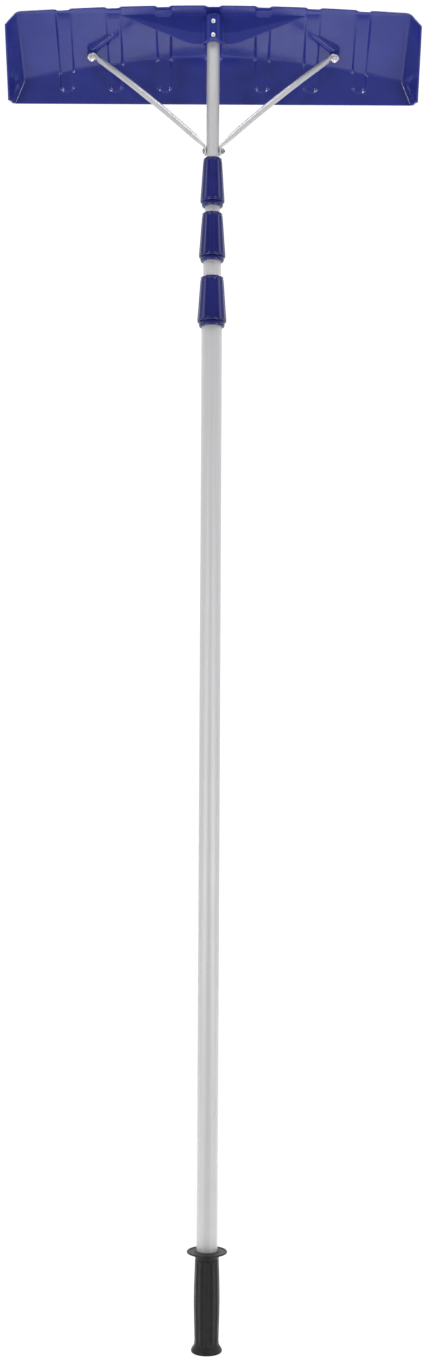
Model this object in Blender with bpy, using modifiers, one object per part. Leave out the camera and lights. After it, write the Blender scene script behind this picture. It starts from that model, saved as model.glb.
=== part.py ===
"""Telescoping roof snow rake: a wide moulded scoop on a four-section twist-lock pole.

Metres, +Z up the pole. The origin is on the pole's axis at the flat end of the grip, and
the scoop's mouth faces -Y. Every solid keeps a gap of GAP to its neighbours.
"""
import math

import bmesh
import bpy
from mathutils import Matrix, Vector

MM = 0.001
GAP = 0.3 * MM
WELD = 0.01 * MM

# Pole: four round tubes, numbered from the grip up. Outside diameter, lower end, upper end.
TUBE_WALL = 1.2 * MM
TUBES = (
    (32 * MM, 4.0 * MM, 1612 * MM),
    (28 * MM, 20.3 * MM, 1712 * MM),
    (24 * MM, 42.3 * MM, 1801 * MM),
    (20 * MM, 64.3 * MM, 2057 * MM),
)
TUBE_SIDES = 32

# Twist locks, from the grip up: ring bottom, sleeve bottom, sleeve top,
# ring diameter, sleeve bottom diameter, sleeve top diameter.
LOCKS = (
    (1570 * MM, 1577.5 * MM, 1649 * MM, 40.2 * MM, 45.4 * MM, 35.6 * MM),
    (1673 * MM, 1680 * MM, 1750 * MM, 36.8 * MM, 41.4 * MM, 31.6 * MM),
    (1760 * MM, 1767 * MM, 1837 * MM, 33.2 * MM, 37.8 * MM, 29.0 * MM),
)
THREAD_DEPTH = 1.6 * MM
FINGER_WALL = 1.4 * MM
SLOT_WIDTH = 1.6 * MM
FLUTES = 12
FLUTE_DEPTH = 0.6 * MM

# Plugs at the tubes' lower ends: head height and the length of the spigot inside the tube.
PLUG_HEAD = 9.7 * MM
PLUG_SPIGOT = 12 * MM
VENT_RADIUS = 3 * MM

# Grip: a moulded handle with a round guard and a flared end.
GRIP_LENGTH = 152 * MM
GRIP_FLOOR = 3.7 * MM
GUARD_RADIUS = 30.8 * MM
GRIP_RIBS = 12
GRIP_RIB_DEPTH = 0.7 * MM

# Scoop, seen along X as a section: rim, crease, junction of wall and blade, leading edge.
SKIN = 2.6 * MM
CREASE_Y = -2 * MM
CREASE_Z = 2067.2 * MM
LIP_CENTRE = 16 * MM
LIP_END = 2 * MM
LIP_ANGLE = math.radians(25)
JUNCTION_Y = (82 * MM, 91 * MM)
JUNCTION_Z = (2033.4 * MM, 1997.4 * MM)
EDGE_Y = 97 * MM
EDGE_Z = 1960.1 * MM
FOLD_X = 307.9 * MM
CORNER_X = 325 * MM
WING_X = 325.4 * MM
WING_TOP = (-13 * MM, 2044.1 * MM)
WING_FOOT = (53 * MM, 1948.4 * MM)
FOLD_ROUND = 6 * MM

# Scoop ribs: shallow channels pressed in from the back, running from the rim onto the blade.
RIB_COUNT = 7
RIB_PITCH = 78.85 * MM
RIB_HEIGHT = 3 * MM
RIB_RIM_HEIGHT = 3 * MM
RIB_HALF_TOP = 13.6 * MM
RIB_HALF_FOOT = 12 * MM
RIB_SIDE = 4 * MM
RIB_END_Z = 1976.8 * MM

# Socket and web that carry the scoop on the top tube.
SOCKET_RADIUS = 13.7 * MM
SOCKET_MOUTH_Z = 2019.5 * MM
SOCKET_TOP_Z = 2061 * MM
COLLAR_RADIUS = 16 * MM
COLLAR_HEIGHT = 4 * MM
WEB_HALF = 146.6 * MM
WEB_FOOT_HALF = 34 * MM
WEB_THICK = 2.6 * MM
WEB_Y = (0.4 * MM, 0.8 * MM, 4.0 * MM)
WEB_Z = (2067.8 * MM, 2039 * MM, 2022.2 * MM)
SCREW_Z = (2029 * MM, 2051 * MM)
SCREW_HEAD_RADIUS = 3.4 * MM
SCREW_RADIUS = 2.0 * MM

# Braces, bolted under bosses on the scoop and across the top tube.
BRACE_RADIUS = 4.75 * MM
TAB_HALF_THICK = 1.3 * MM
TAB_HALF_WIDTH = 7 * MM
BOLT_X = 194.4 * MM
BOLT_Y = 54 * MM
TAB_Z = 2020.4 * MM
BOSS_RADIUS = 8 * MM
BOSS_TILT = math.radians(28)
BOSS_SEAT = TAB_HALF_THICK + GAP
BOSS_PAD = 18.5 * MM
RIDGE_X = 168.8 * MM
RIDGE_Y = 34 * MM
RIDGE_Z = 2038 * MM
RIDGE_RISE = 7 * MM
BOLT_RADIUS = 2.5 * MM
NUT_FLATS = 8 * MM
NUT_HEIGHT = 4.2 * MM
CROSS_Z = 1849.2 * MM
CROSS_TAB_X = 11.6 * MM

SOLIDS = None
CUTTERS = None


# ---------------------------------------------------------------- scene and materials

def start():
    """Empty the scene and make the two collections."""
    global SOLIDS, CUTTERS
    for item in list(bpy.data.objects):
        bpy.data.objects.remove(item, do_unlink=True)
    SOLIDS = bpy.data.collections.new("roof_snow_rake")
    CUTTERS = bpy.data.collections.new("cutters")
    bpy.context.scene.collection.children.link(SOLIDS)
    bpy.context.scene.collection.children.link(CUTTERS)


def material(name, colour, roughness, metallic):
    """A Principled material with one colour."""
    made = bpy.data.materials.new(name)
    made.use_nodes = True
    shader = made.node_tree.nodes["Principled BSDF"]
    shader.inputs["Base Color"].default_value = (*colour, 1.0)
    shader.inputs["Roughness"].default_value = roughness
    shader.inputs["Metallic"].default_value = metallic
    return made


def finishes():
    """The materials of the whole rake, by name."""
    return {
        "scoop_blue": material("scoop_blue", (0.035, 0.05, 0.32), 0.25, 0.0),
        "lock_blue": material("lock_blue", (0.02, 0.03, 0.25), 0.3, 0.0),
        "tube_silver": material("tube_silver", (0.75, 0.75, 0.76), 0.35, 1.0),
        "grip_black": material("grip_black", (0.02, 0.02, 0.022), 0.7, 0.0),
        "plug_white": material("plug_white", (0.75, 0.75, 0.72), 0.5, 0.0),
        "steel": material("steel", (0.6, 0.6, 0.6), 0.25, 1.0),
    }


# ---------------------------------------------------------------- building blocks

def keep(name, mesh, finish, parent=None, place=(0, 0, 0)):
    """Make a solid of a mesh, in the object's collection."""
    solid = bpy.data.objects.new(name, mesh)
    SOLIDS.objects.link(solid)
    if not mesh.materials:
        mesh.materials.append(finish)
    solid.location = place
    solid.parent = parent
    return solid


def pivot(name, place, parent=None):
    """An empty on a joint's axis, for the pieces that move together."""
    empty = bpy.data.objects.new(name, None)
    SOLIDS.objects.link(empty)
    empty.location = place
    empty.parent = parent
    return empty


def as_cutter(solid):
    """Turn a solid into a hidden cutter."""
    SOLIDS.objects.unlink(solid)
    CUTTERS.objects.link(solid)
    solid.hide_render = True
    solid.display_type = 'WIRE'
    return solid


def combine(solid, other, operation):
    """Cut or join one solid with another that stays as a hidden cutter."""
    modifier = solid.modifiers.new(operation.lower(), 'BOOLEAN')
    modifier.operation = operation
    modifier.solver = 'EXACT'
    modifier.object = other
    return modifier


def mesh_of(build):
    """A mesh from a function that fills a bmesh."""
    made = bmesh.new()
    build(made)
    mesh = bpy.data.meshes.new("mesh")
    made.to_mesh(mesh)
    made.free()
    return mesh


def smooth(mesh, angle=35):
    """Smooth shading that keeps the sharp edges."""
    mesh.shade_smooth()
    mesh.set_sharp_from_angle(angle=math.radians(angle))


def turned(name, profile, finish, parent=None, sides=TUBE_SIDES, closed=True):
    """Turn a profile of (radius, height) points round Z; its outer side runs top to bottom."""
    mesh = bpy.data.meshes.new(name)
    points = [(radius, 0, height) for radius, height in profile]
    edges = [(i, i + 1) for i in range(len(points) - 1)]
    if closed:
        edges.append((len(points) - 1, 0))
    mesh.from_pydata(points, edges, [])
    solid = keep(name, mesh, finish, parent)
    screw = solid.modifiers.new("turn", 'SCREW')
    screw.steps = sides
    screw.render_steps = sides
    screw.use_merge_vertices = True
    screw.merge_threshold = WELD
    screw.use_smooth_shade = True
    return solid


def cylinder(name, radius, length, centre, axis, finish, sides=16, parent=None):
    """A capped cylinder or prism along an axis."""
    turn = Vector((0, 0, 1)).rotation_difference(Vector(axis)).to_matrix().to_4x4()

    def build(made):
        bmesh.ops.create_cone(made, cap_ends=True, segments=sides, radius1=radius,
                              radius2=radius, depth=length, matrix=turn)

    mesh = mesh_of(build)
    smooth(mesh)
    return keep(name, mesh, finish, parent, centre)


def box(name, size, centre, finish):
    """A box, for cutting."""
    def build(made):
        bmesh.ops.create_cube(made, size=1, matrix=Matrix.Diagonal((*size, 1)))

    return keep(name, mesh_of(build), finish, None, centre)


def skin_of(rings, close_ring=True, caps=True):
    """Faces between rings of points that all have the same count."""
    def build(made):
        rows = [[made.verts.new(point) for point in ring] for ring in rings]
        count = len(rows[0])
        last = count if close_ring else count - 1
        for low, high in zip(rows, rows[1:]):
            for i in range(last):
                j = (i + 1) % count
                made.faces.new((low[i], low[j], high[j], high[i]))
        if caps:
            made.faces.new(rows[0][::-1])
            made.faces.new(rows[-1])

    return mesh_of(build)


def blend(start, end, amount):
    """A value or point between two others."""
    return start + (end - start) * amount


def ease(amount):
    """A smooth step from 0 to 1."""
    amount = min(max(amount, 0.0), 1.0)
    return amount * amount * (3 - 2 * amount)


def rounded(before, corner, after, size, steps=3):
    """Points of a curve that rounds a corner, from one leg to the other."""
    leg_in = before - corner
    leg_out = after - corner
    first = corner + leg_in.normalized() * min(size, leg_in.length * 0.45)
    last = corner + leg_out.normalized() * min(size, leg_out.length * 0.45)
    points = []
    for i in range(steps + 1):
        t = i / steps
        points.append(first * (1 - t) ** 2 + corner * 2 * t * (1 - t) + last * t ** 2)
    return points


# ---------------------------------------------------------------- pole

def tube(index, finish, parent):
    """One of the pole's round tubes."""
    diameter, low, high = TUBES[index]
    outer = diameter / 2
    inner = outer - TUBE_WALL
    profile = [(outer, high), (outer, low), (inner, low), (inner, high)]
    return turned(f"tube_{index + 1}", profile, finish, parent)


def bore(index):
    """Inside radius of a tube."""
    return TUBES[index][0] / 2 - TUBE_WALL


def base_plug(finish, parent):
    """Closes the lower tube's end inside the grip."""
    low = TUBES[0][1]
    radius = bore(0) - GAP
    profile = [(0, low + 6 * MM), (radius, low + 6 * MM), (radius, low), (0, low)]
    return turned("tube_1_end_plug", profile, finish, parent, closed=False)


def guide_plug(index, finish, parent):
    """Runs in the tube outside and holds the lower end of a sliding tube central."""
    low = TUBES[index][1] - GAP
    head = bore(index - 1) - GAP
    spigot = bore(index) - GAP
    profile = [
        (spigot, low + PLUG_SPIGOT),
        (spigot, low),
        (head, low),
        (head, low - PLUG_HEAD),
        (VENT_RADIUS, low - PLUG_HEAD),
        (VENT_RADIUS, low + PLUG_SPIGOT),
    ]
    return turned(f"tube_{index + 1}_guide_plug", profile, finish, parent)


def collet(index, finish, parent):
    """Threaded collet on a tube's upper end; its slotted fingers grip the next tube."""
    ring_low, sleeve_low, sleeve_high, ring_diameter = LOCKS[index][:4]
    outer = TUBES[index][0] / 2
    tube_top = TUBES[index][2]
    finger = TUBES[index + 1][0] / 2 + GAP
    ring = ring_diameter / 2
    thread = outer + GAP + THREAD_DEPTH
    shoulder = tube_top + GAP
    top = sleeve_high - 5 * MM
    profile = [
        (finger + 0.7 * FINGER_WALL, top),
        (finger + FINGER_WALL, top - 3 * MM),
        (thread, shoulder + 6 * MM),
        (thread, sleeve_low - GAP),
        (ring - 0.6 * MM, sleeve_low - GAP),
        (ring, sleeve_low - 1.5 * MM),
        (ring, ring_low + 0.8 * MM),
        (ring - 0.8 * MM, ring_low),
        (outer + GAP, ring_low),
        (outer + GAP, shoulder),
        (finger, shoulder),
        (finger, top),
    ]
    solid = turned(f"lock_{index + 1}_collet", profile, finish, parent)
    slot_low = shoulder + 3 * MM
    height = top - slot_low + 5 * MM
    middle = slot_low + height / 2
    reach = 3 * thread
    for axis, size in (("x", (reach, SLOT_WIDTH, height)), ("y", (SLOT_WIDTH, reach, height))):
        slot = box(f"lock_{index + 1}_slot_{axis}", size, (0, 0, middle), finish)
        combine(solid, as_cutter(slot), 'DIFFERENCE')
    return solid


def fluted_ring(radius, height, depth, flutes, sides):
    """A ring of points whose radius dips between its flutes."""
    ring = []
    for i in range(sides):
        angle = 2 * math.pi * i / sides
        dip = depth * (0.5 - 0.5 * math.cos(flutes * angle))
        ring.append(((radius - dip) * math.cos(angle), (radius - dip) * math.sin(angle), height))
    return ring


def twist_sleeve(index, finish, parent):
    """Tapered fluted sleeve that is turned by hand to tighten the collet."""
    sleeve_low, sleeve_high, ring_diameter, low_diameter, high_diameter = LOCKS[index][1:]
    low_radius = low_diameter / 2
    high_radius = high_diameter / 2
    thread = TUBES[index][0] / 2 + 2 * GAP + THREAD_DEPTH
    shoulder = TUBES[index][2] + GAP
    mouth = TUBES[index + 1][0] / 2 + 2 * GAP
    finger = TUBES[index + 1][0] / 2 + 2 * GAP + FINGER_WALL
    sides = 3 * FLUTES
    length = sleeve_high - sleeve_low
    outer = [
        (low_radius - 2.2 * MM, 0.0, 0.0),
        (low_radius - 0.3 * MM, 2.2 * MM, 0.3),
        (low_radius, 4.5 * MM, 1.0),
        (blend(low_radius, high_radius, 0.5), 0.5 * length, 1.0),
        (high_radius + 0.3 * MM, length - 4.5 * MM, 1.0),
        (high_radius - 0.5 * MM, length - 1.5 * MM, 0.4),
        (high_radius - 2.0 * MM, length, 0.0),
    ]
    inner = [
        (mouth, length),
        (mouth, length - 3 * MM),
        (finger + 0.3 * MM, length - 4.2 * MM),
        (finger + 0.3 * MM, length - 8.5 * MM),
        (thread, shoulder + 7 * MM - sleeve_low),
        (thread, 0.0),
    ]
    rings = [fluted_ring(radius, sleeve_low + height, FLUTE_DEPTH * flute, FLUTES, sides)
             for radius, height, flute in outer]
    rings += [fluted_ring(radius, sleeve_low + height, 0, FLUTES, sides)
              for radius, height in inner]
    mesh = skin_of(rings + rings[:1], caps=False)
    weld(mesh)
    smooth(mesh, 50)
    return keep(f"lock_{index + 1}_sleeve", mesh, finish, parent)


def weld(mesh):
    """Join points that lie on each other."""
    made = bmesh.new()
    made.from_mesh(mesh)
    bmesh.ops.remove_doubles(made, verts=made.verts, dist=WELD)
    made.to_mesh(mesh)
    made.free()


# ---------------------------------------------------------------- grip

def grip(finish, parent):
    """Hand grip pushed over the lower tube, with a round guard and shallow ribs."""
    guard = GUARD_RADIUS
    outline = [
        (0.0, 0.0, 0.0),
        (21.6 * MM, 0.0, 0.0),
        (23.4 * MM, 1.6 * MM, 0.0),
        (23.6 * MM, 3.6 * MM, 0.0),
        (22.6 * MM, 6.2 * MM, 0.0),
        (19.6 * MM, 10.5 * MM, 0.3),
        (18.1 * MM, 18.0 * MM, 1.0),
        (18.9 * MM, 45.0 * MM, 1.0),
        (19.6 * MM, 76.0 * MM, 1.0),
        (19.2 * MM, 100.0 * MM, 1.0),
        (18.2 * MM, 131.0 * MM, 1.0),
        (18.0 * MM, 137.0 * MM, 0.0),
        (17.5 * MM, 138.0 * MM, 0.0),
        (17.5 * MM, 140.0 * MM, 0.0),
        (18.0 * MM, 141.0 * MM, 0.0),
        (19.0 * MM, 145.0 * MM, 0.0),
        (guard - 2.0 * MM, 147.8 * MM, 0.0),
        (guard, 149.2 * MM, 0.0),
        (guard - 0.5 * MM, 151.0 * MM, 0.0),
        (guard - 2.5 * MM, 151.4 * MM, 0.0),
        (guard - 4.0 * MM, 150.2 * MM, 0.0),
        (18.6 * MM, GRIP_LENGTH, 0.0),
    ]
    bore_radius = TUBES[0][0] / 2 + GAP
    sides = 3 * GRIP_RIBS
    rings = [fluted_ring(radius, height, GRIP_RIB_DEPTH * rib, GRIP_RIBS, sides)
             for radius, height, rib in outline]
    rings.append(fluted_ring(bore_radius, GRIP_LENGTH, 0, GRIP_RIBS, sides))
    rings.append(fluted_ring(bore_radius, GRIP_FLOOR, 0, GRIP_RIBS, sides))
    rings.append(fluted_ring(0, GRIP_FLOOR, 0, GRIP_RIBS, sides))
    mesh = skin_of(rings, caps=False)
    weld(mesh)
    smooth(mesh, 40)
    return keep("grip", mesh, finish, parent)


# ---------------------------------------------------------------- scoop

def scoop_section(across):
    """Corners of the scoop's section at a distance across it, as points in the YZ plane."""
    side = min(abs(across) / FOLD_X, 1.0)
    lip = blend(LIP_CENTRE, LIP_END, side ** 2)
    crease = Vector((0, CREASE_Y, CREASE_Z))
    rim = crease + Vector((0, -math.cos(LIP_ANGLE), math.sin(LIP_ANGLE))) * lip
    junction = Vector((0, blend(*JUNCTION_Y, side ** 2), blend(*JUNCTION_Z, side ** 1.75)))
    edge = Vector((0, EDGE_Y, EDGE_Z))
    return rim, crease, junction, edge


def section_points(across):
    """The section's line from rim to leading edge, with its two corners rounded."""
    rim, crease, junction, edge = scoop_section(across)
    points = [rim]
    points += rounded(rim, crease, junction, 4 * MM, steps=2)
    start = points[-1]
    bend = rounded(crease, junction, edge, FOLD_ROUND, steps=3)
    for part in (0.25, 0.5, 0.75):
        points.append(blend(start, bend[0], part))
    points += bend
    foot = bend[-1]
    rib_end = blend(foot, edge, rib_reach(foot, edge))
    for part in (0.4, 0.7, 0.88, 1.0):
        points.append(blend(foot, rib_end, part))
    points.append(edge)
    return points


def rib_reach(foot, edge):
    """How far down the blade the ribs run, as a part of the way from foot to edge."""
    return min(max((foot.z - RIB_END_Z) / (foot.z - edge.z), 0.3), 0.8)


BEND_ROW = 10         # the last row of the rounded junction
RIB_END_ROW = 14      # the row where the ribs have died out


def rib_shape(row):
    """Half width and height of a rib at a row of the section."""
    half = blend(RIB_HALF_TOP, RIB_HALF_FOOT, min(row / BEND_ROW, 1.0))
    if row == 0:
        return half, RIB_RIM_HEIGHT
    if row <= BEND_ROW:
        return half, RIB_HEIGHT
    along = (row - BEND_ROW) / (RIB_END_ROW - BEND_ROW)
    if along >= 1.0:
        return 0.35 * half, 0.0
    round_end = math.sqrt(1 - along ** 2)
    return half * max(round_end, 0.35), RIB_HEIGHT * round_end


def scoop_columns(row):
    """Positions across the right half at one row, each with the rib's share of its height."""
    half, height = rib_shape(row)
    side = RIB_SIDE
    columns = [(0.0, height), (half - side, height), (half, 0.0)]
    for rib in range(1, RIB_COUNT // 2 + 1):
        centre = rib * RIB_PITCH
        columns += [
            (centre - half, 0.0),
            (centre - half + side * half / RIB_HALF_TOP, height),
            (centre + half - side * half / RIB_HALF_TOP, height),
            (centre + half, 0.0),
        ]
    return columns


def inward(points, row):
    """Unit normal of the section at a row, towards the mouth."""
    before = points[max(row - 1, 0)]
    after = points[min(row + 1, len(points) - 1)]
    along = (after - before).normalized()
    return Vector((0, along.z, -along.y))


def wing_edge(points, row):
    """Free edge of the end wall that belongs to a row of the section."""
    steps = [(after - before).length for before, after in zip(points, points[1:])]
    part = sum(steps[:row]) / sum(steps)
    return blend(Vector((WING_X, *WING_TOP)), Vector((WING_X, *WING_FOOT)), part)


def scoop_half():
    """Right half of the scoop's inner face, as rows of points from the middle to the wing."""
    rows = []
    last_row = len(section_points(0)) - 1
    for row in range(last_row + 1):
        line = []
        for across, height in scoop_columns(row):
            points = section_points(across)
            place = points[row] + inward(points, row) * height
            line.append(Vector((across, place.y, place.z)))
        ends = section_points(FOLD_X)
        widen = min(max((ends[BEND_ROW].z - ends[row].z) / (ends[BEND_ROW].z - EDGE_Z), 0), 1)
        fold = ends[row].copy()
        fold.x = blend(FOLD_X, CORNER_X, widen)
        free = wing_edge(ends, row)
        bend = rounded(line[-1], fold, free, FOLD_ROUND, steps=3)
        line.append(blend(line[-1], bend[0], 0.5))
        line += bend
        line.append(blend(bend[-1], free, 0.5))
        line.append(free)
        rows.append(line)
    return rows


def scoop_shell(finish):
    """The scoop's ribbed skin: an open half, mirrored and thickened outwards."""
    mesh = skin_of(scoop_half(), close_ring=False, caps=False)
    solid = keep("scoop", mesh, finish)
    mirror = solid.modifiers.new("mirror", 'MIRROR')
    mirror.use_axis = (True, False, False)
    mirror.use_clip = True
    mirror.merge_threshold = WELD
    thicken = solid.modifiers.new("thicken", 'SOLIDIFY')
    thicken.thickness = SKIN
    thicken.offset = 1.0
    thicken.use_even_offset = True
    thicken.thickness_clamp = 1.0
    return solid


def wall_height(across, depth):
    """Height of the scoop wall's inner face over a point."""
    crease, junction = scoop_section(across)[1:3]
    part = (depth - crease.y) / (junction.y - crease.y)
    return blend(crease.z, junction.z, part)


def web(finish):
    """Triangular web from the crease down to the socket, standing in front of the wall."""
    rows = []
    stations = 9
    for y, z in zip(WEB_Y, WEB_Z):
        line = []
        for i in range(stations):
            across = WEB_HALF * i / (stations - 1)
            drop = min((WEB_HALF - across) / (WEB_HALF - WEB_FOOT_HALF), 1.0)
            part = 0.03 + 0.97 * drop
            line.append(Vector((across, blend(WEB_Y[0], y, part), blend(WEB_Z[0], z, part))))
        rows.append(line)
    mesh = skin_of(rows, close_ring=False, caps=False)
    solid = keep("web_body", mesh, finish)
    mirror = solid.modifiers.new("mirror", 'MIRROR')
    mirror.use_axis = (True, False, False)
    mirror.use_clip = True
    mirror.merge_threshold = WELD
    thicken = solid.modifiers.new("thicken", 'SOLIDIFY')
    thicken.thickness = WEB_THICK
    thicken.offset = 1.0
    return as_cutter(solid)


def tab_frame(side):
    """A brace's upper bolt: its point in the tab and its direction into the leaning wall."""
    point = Vector((side * BOLT_X, BOLT_Y, TAB_Z))
    return point, Vector((0, math.sin(BOSS_TILT), math.cos(BOSS_TILT)))


def boss(side, finish):
    """Round boss through the wall with a ridge to the next rib; carries a brace bolt."""
    point, axis = tab_frame(side)
    middle = point + axis * (BOSS_SEAT + BOSS_PAD) / 2
    round_part = cylinder(f"boss_{side}", BOSS_RADIUS, BOSS_PAD - BOSS_SEAT, middle, axis,
                          finish, 24)
    root = point + axis * RIDGE_RISE
    centre = Vector((root.x, root.y, 0))
    ridge_end = Vector((side * RIDGE_X, RIDGE_Y, 0))
    along = (ridge_end - centre).normalized()
    across = Vector((-along.y, along.x, 0))
    rings = []
    for point, half, low in ((centre, 0.9 * BOSS_RADIUS, root.z),
                             (ridge_end, 0.7 * BOSS_RADIUS, RIDGE_Z)):
        left = point + across * half
        right = point - across * half
        tops = [wall_height(abs(p.x), p.y) + 0.45 * SKIN for p in (left, right)]
        rings.append([
            Vector((left.x, left.y, low)),
            Vector((right.x, right.y, low)),
            Vector((right.x, right.y, tops[1])),
            Vector((left.x, left.y, tops[0])),
        ])
    ridge = keep(f"ridge_{side}", skin_of(rings), finish)
    fix_normals(ridge.data)
    return as_cutter(round_part), as_cutter(ridge)


def fix_normals(mesh):
    """Turn a closed mesh's faces outwards."""
    made = bmesh.new()
    made.from_mesh(mesh)
    bmesh.ops.recalc_face_normals(made, faces=made.faces)
    made.to_mesh(mesh)
    made.free()


def scoop(finish, parent):
    """The one-piece moulded scoop with its socket, web and bosses, bored for its fixings."""
    solid = scoop_shell(finish)
    solid.parent = parent
    height = SOCKET_TOP_Z - SOCKET_MOUTH_Z
    middle = (0, 0, SOCKET_MOUTH_Z + height / 2)
    socket = cylinder("socket", SOCKET_RADIUS, height, middle, (0, 0, 1), finish, 32)
    combine(solid, as_cutter(socket), 'UNION')
    collar = cylinder("collar", COLLAR_RADIUS, COLLAR_HEIGHT,
                      (0, 0, SOCKET_MOUTH_Z + COLLAR_HEIGHT / 2), (0, 0, 1), finish, 32)
    combine(solid, as_cutter(collar), 'UNION')
    combine(solid, web(finish), 'UNION')
    for side in (-1, 1):
        for shape in boss(side, finish):
            combine(solid, shape, 'UNION')
    bore_top = TUBES[3][2] + GAP
    bore_low = SOCKET_MOUTH_Z - 5 * MM
    tube_bore = cylinder("socket_bore", TUBES[3][0] / 2 + GAP, bore_top - bore_low,
                         (0, 0, (bore_top + bore_low) / 2), (0, 0, 1), finish, 32)
    combine(solid, as_cutter(tube_bore), 'DIFFERENCE')
    for z in SCREW_Z:
        hole = cylinder(f"screw_hole_{z:.3f}", SCREW_RADIUS + GAP, 24 * MM, (0, -12 * MM, z),
                        (0, 1, 0), finish, 12)
        combine(solid, as_cutter(hole), 'DIFFERENCE')
    for side in (-1, 1):
        point, axis = tab_frame(side)
        hole = cylinder(f"brace_hole_{side}", BOLT_RADIUS + GAP, 60 * MM, point + axis * 10 * MM,
                        axis, finish, 12)
        combine(solid, as_cutter(hole), 'DIFFERENCE')
    return solid


# ---------------------------------------------------------------- braces and fixings

def oblong(centre, side_axis, thin_axis, half_width, half_thick, sides=12):
    """A ring between a circle and a flat oblong."""
    ring = []
    power = 1.0 if half_width <= half_thick * 1.05 else 0.55
    for i in range(sides):
        angle = 2 * math.pi * i / sides
        c, s = math.cos(angle), math.sin(angle)
        wide = math.copysign(abs(c) ** power, c) * half_width
        thin = math.copysign(abs(s) ** power, s) * half_thick
        ring.append(centre + side_axis * wide + thin_axis * thin)
    return ring


def tab_point(outward):
    """A point of the right brace's upper tab, at a distance past its bolt."""
    plan = Vector((BOLT_X, BOLT_Y, 0)).normalized()
    along = Matrix.Rotation(-BOSS_TILT, 3, 'X') @ plan
    return tuple(Vector((BOLT_X, BOLT_Y, TAB_Z)) + along * outward)


def brace_rings(side):
    """Sections of a brace from its upper tab to its lower tab."""
    plan = Vector((side * BOLT_X, BOLT_Y, 0)).normalized()
    lean = Matrix.Rotation(-BOSS_TILT, 3, 'X')
    upper_side = lean @ Vector((-plan.y, plan.x, 0))
    upper_along = lean @ -plan
    stations = [
        (tab_point(7.0 * MM), 0.5, 1.0),
        (tab_point(4.5 * MM), 0.85, 1.0),
        (tab_point(0.0), 1.0, 1.0),
        (tab_point(-6.2 * MM), 1.0, 1.0),
        ((182.8 * MM, 50.5 * MM, 2014.5 * MM), 1.0, 0.45),
        ((171.7 * MM, 47.3 * MM, 2005.9 * MM), 1.0, 0.0),
        ((128.4 * MM, 35.0 * MM, 1968.3 * MM), 1.0, 0.0),
        ((78.1 * MM, 20.7 * MM, 1922.4 * MM), 1.0, 0.0),
        ((33.0 * MM, 7.6 * MM, 1878.9 * MM), 1.0, 0.0),
        ((20.5 * MM, 3.4 * MM, 1865.5 * MM), 1.0, 0.5),
        ((CROSS_TAB_X + 0.4 * MM, 0.3 * MM, CROSS_Z + 7.0 * MM), 1.0, 1.0),
        ((CROSS_TAB_X, 0.0, CROSS_Z), 1.0, 1.0),
        ((CROSS_TAB_X, 0.0, CROSS_Z - 4.5 * MM), 0.85, 1.0),
        ((CROSS_TAB_X, 0.0, CROSS_Z - 7.5 * MM), 0.5, 1.0),
    ]
    centres = [Vector((side * x, y, z)) for (x, y, z), _, _ in stations]
    rings = []
    for i, (_, width, flat) in enumerate(stations):
        before = centres[max(i - 1, 0)]
        after = centres[min(i + 1, len(centres) - 1)]
        along = (after - before).normalized()
        if i <= 3:
            along = upper_along
            wide = upper_side
        elif i >= 10:
            along = Vector((0, 0, -1))
            wide = Vector((0, side, 0))
        else:
            wide = blend(upper_side, Vector((0, side, 0)), ease((i - 3) / 7)).normalized()
            wide = (wide - along * wide.dot(along)).normalized()
        thin = along.cross(wide).normalized()
        half_wide = blend(BRACE_RADIUS, TAB_HALF_WIDTH, flat) * width
        half_thin = blend(BRACE_RADIUS, TAB_HALF_THICK, flat)
        rings.append(oblong(centres[i], wide, thin, half_wide, half_thin))
    return rings


def brace(name, side, finish, parent):
    """A tube with flattened, drilled ends."""
    mesh = skin_of(brace_rings(side))
    fix_normals(mesh)
    smooth(mesh, 50)
    solid = keep(name, mesh, finish, parent)
    point, axis = tab_frame(side)
    upper = cylinder(f"{name}_upper_hole", BOLT_RADIUS + GAP, 12 * MM, point, axis, finish, 12)
    lower = cylinder(f"{name}_lower_hole", BOLT_RADIUS + GAP, 10 * MM,
                     (side * CROSS_TAB_X, 0, CROSS_Z), (1, 0, 0), finish, 12)
    combine(solid, as_cutter(upper), 'DIFFERENCE')
    combine(solid, as_cutter(lower), 'DIFFERENCE')
    return solid


def lathe_along(name, profile, origin, axis, finish, parent, sides=16):
    """Turn a profile round Z, then lay it along an axis from an origin."""
    solid = turned(name, profile, finish, parent, sides, closed=False)
    solid.location = origin
    solid.rotation_mode = 'QUATERNION'
    solid.rotation_quaternion = Vector((0, 0, 1)).rotation_difference(Vector(axis))
    return solid


def hex_nut(name, centre, axis, finish, parent):
    """A hexagon nut with a clear bore."""
    corner = NUT_FLATS / math.sqrt(3)
    nut = cylinder(name, corner, NUT_HEIGHT, centre, axis, finish, 6, parent)
    hole = cylinder(f"{name}_hole", BOLT_RADIUS + GAP, 3 * NUT_HEIGHT, centre, axis, finish, 12)
    combine(nut, as_cutter(hole), 'DIFFERENCE')
    return nut


def domed_bolt(name, seat, axis, grip_length, finish, parent):
    """A domed-head bolt: the head's flat is at the seat and the shank runs along the axis."""
    head = 5 * MM
    profile = [
        (0, grip_length),
        (BOLT_RADIUS - 0.4 * MM, grip_length),
        (BOLT_RADIUS, grip_length - 0.6 * MM),
        (BOLT_RADIUS, 0),
        (head, 0),
        (head, -1.0 * MM),
        (0.85 * head, -2.2 * MM),
        (0.5 * head, -3.0 * MM),
        (0, -3.2 * MM),
    ]
    return lathe_along(name, profile, seat, axis, finish, parent)


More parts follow.
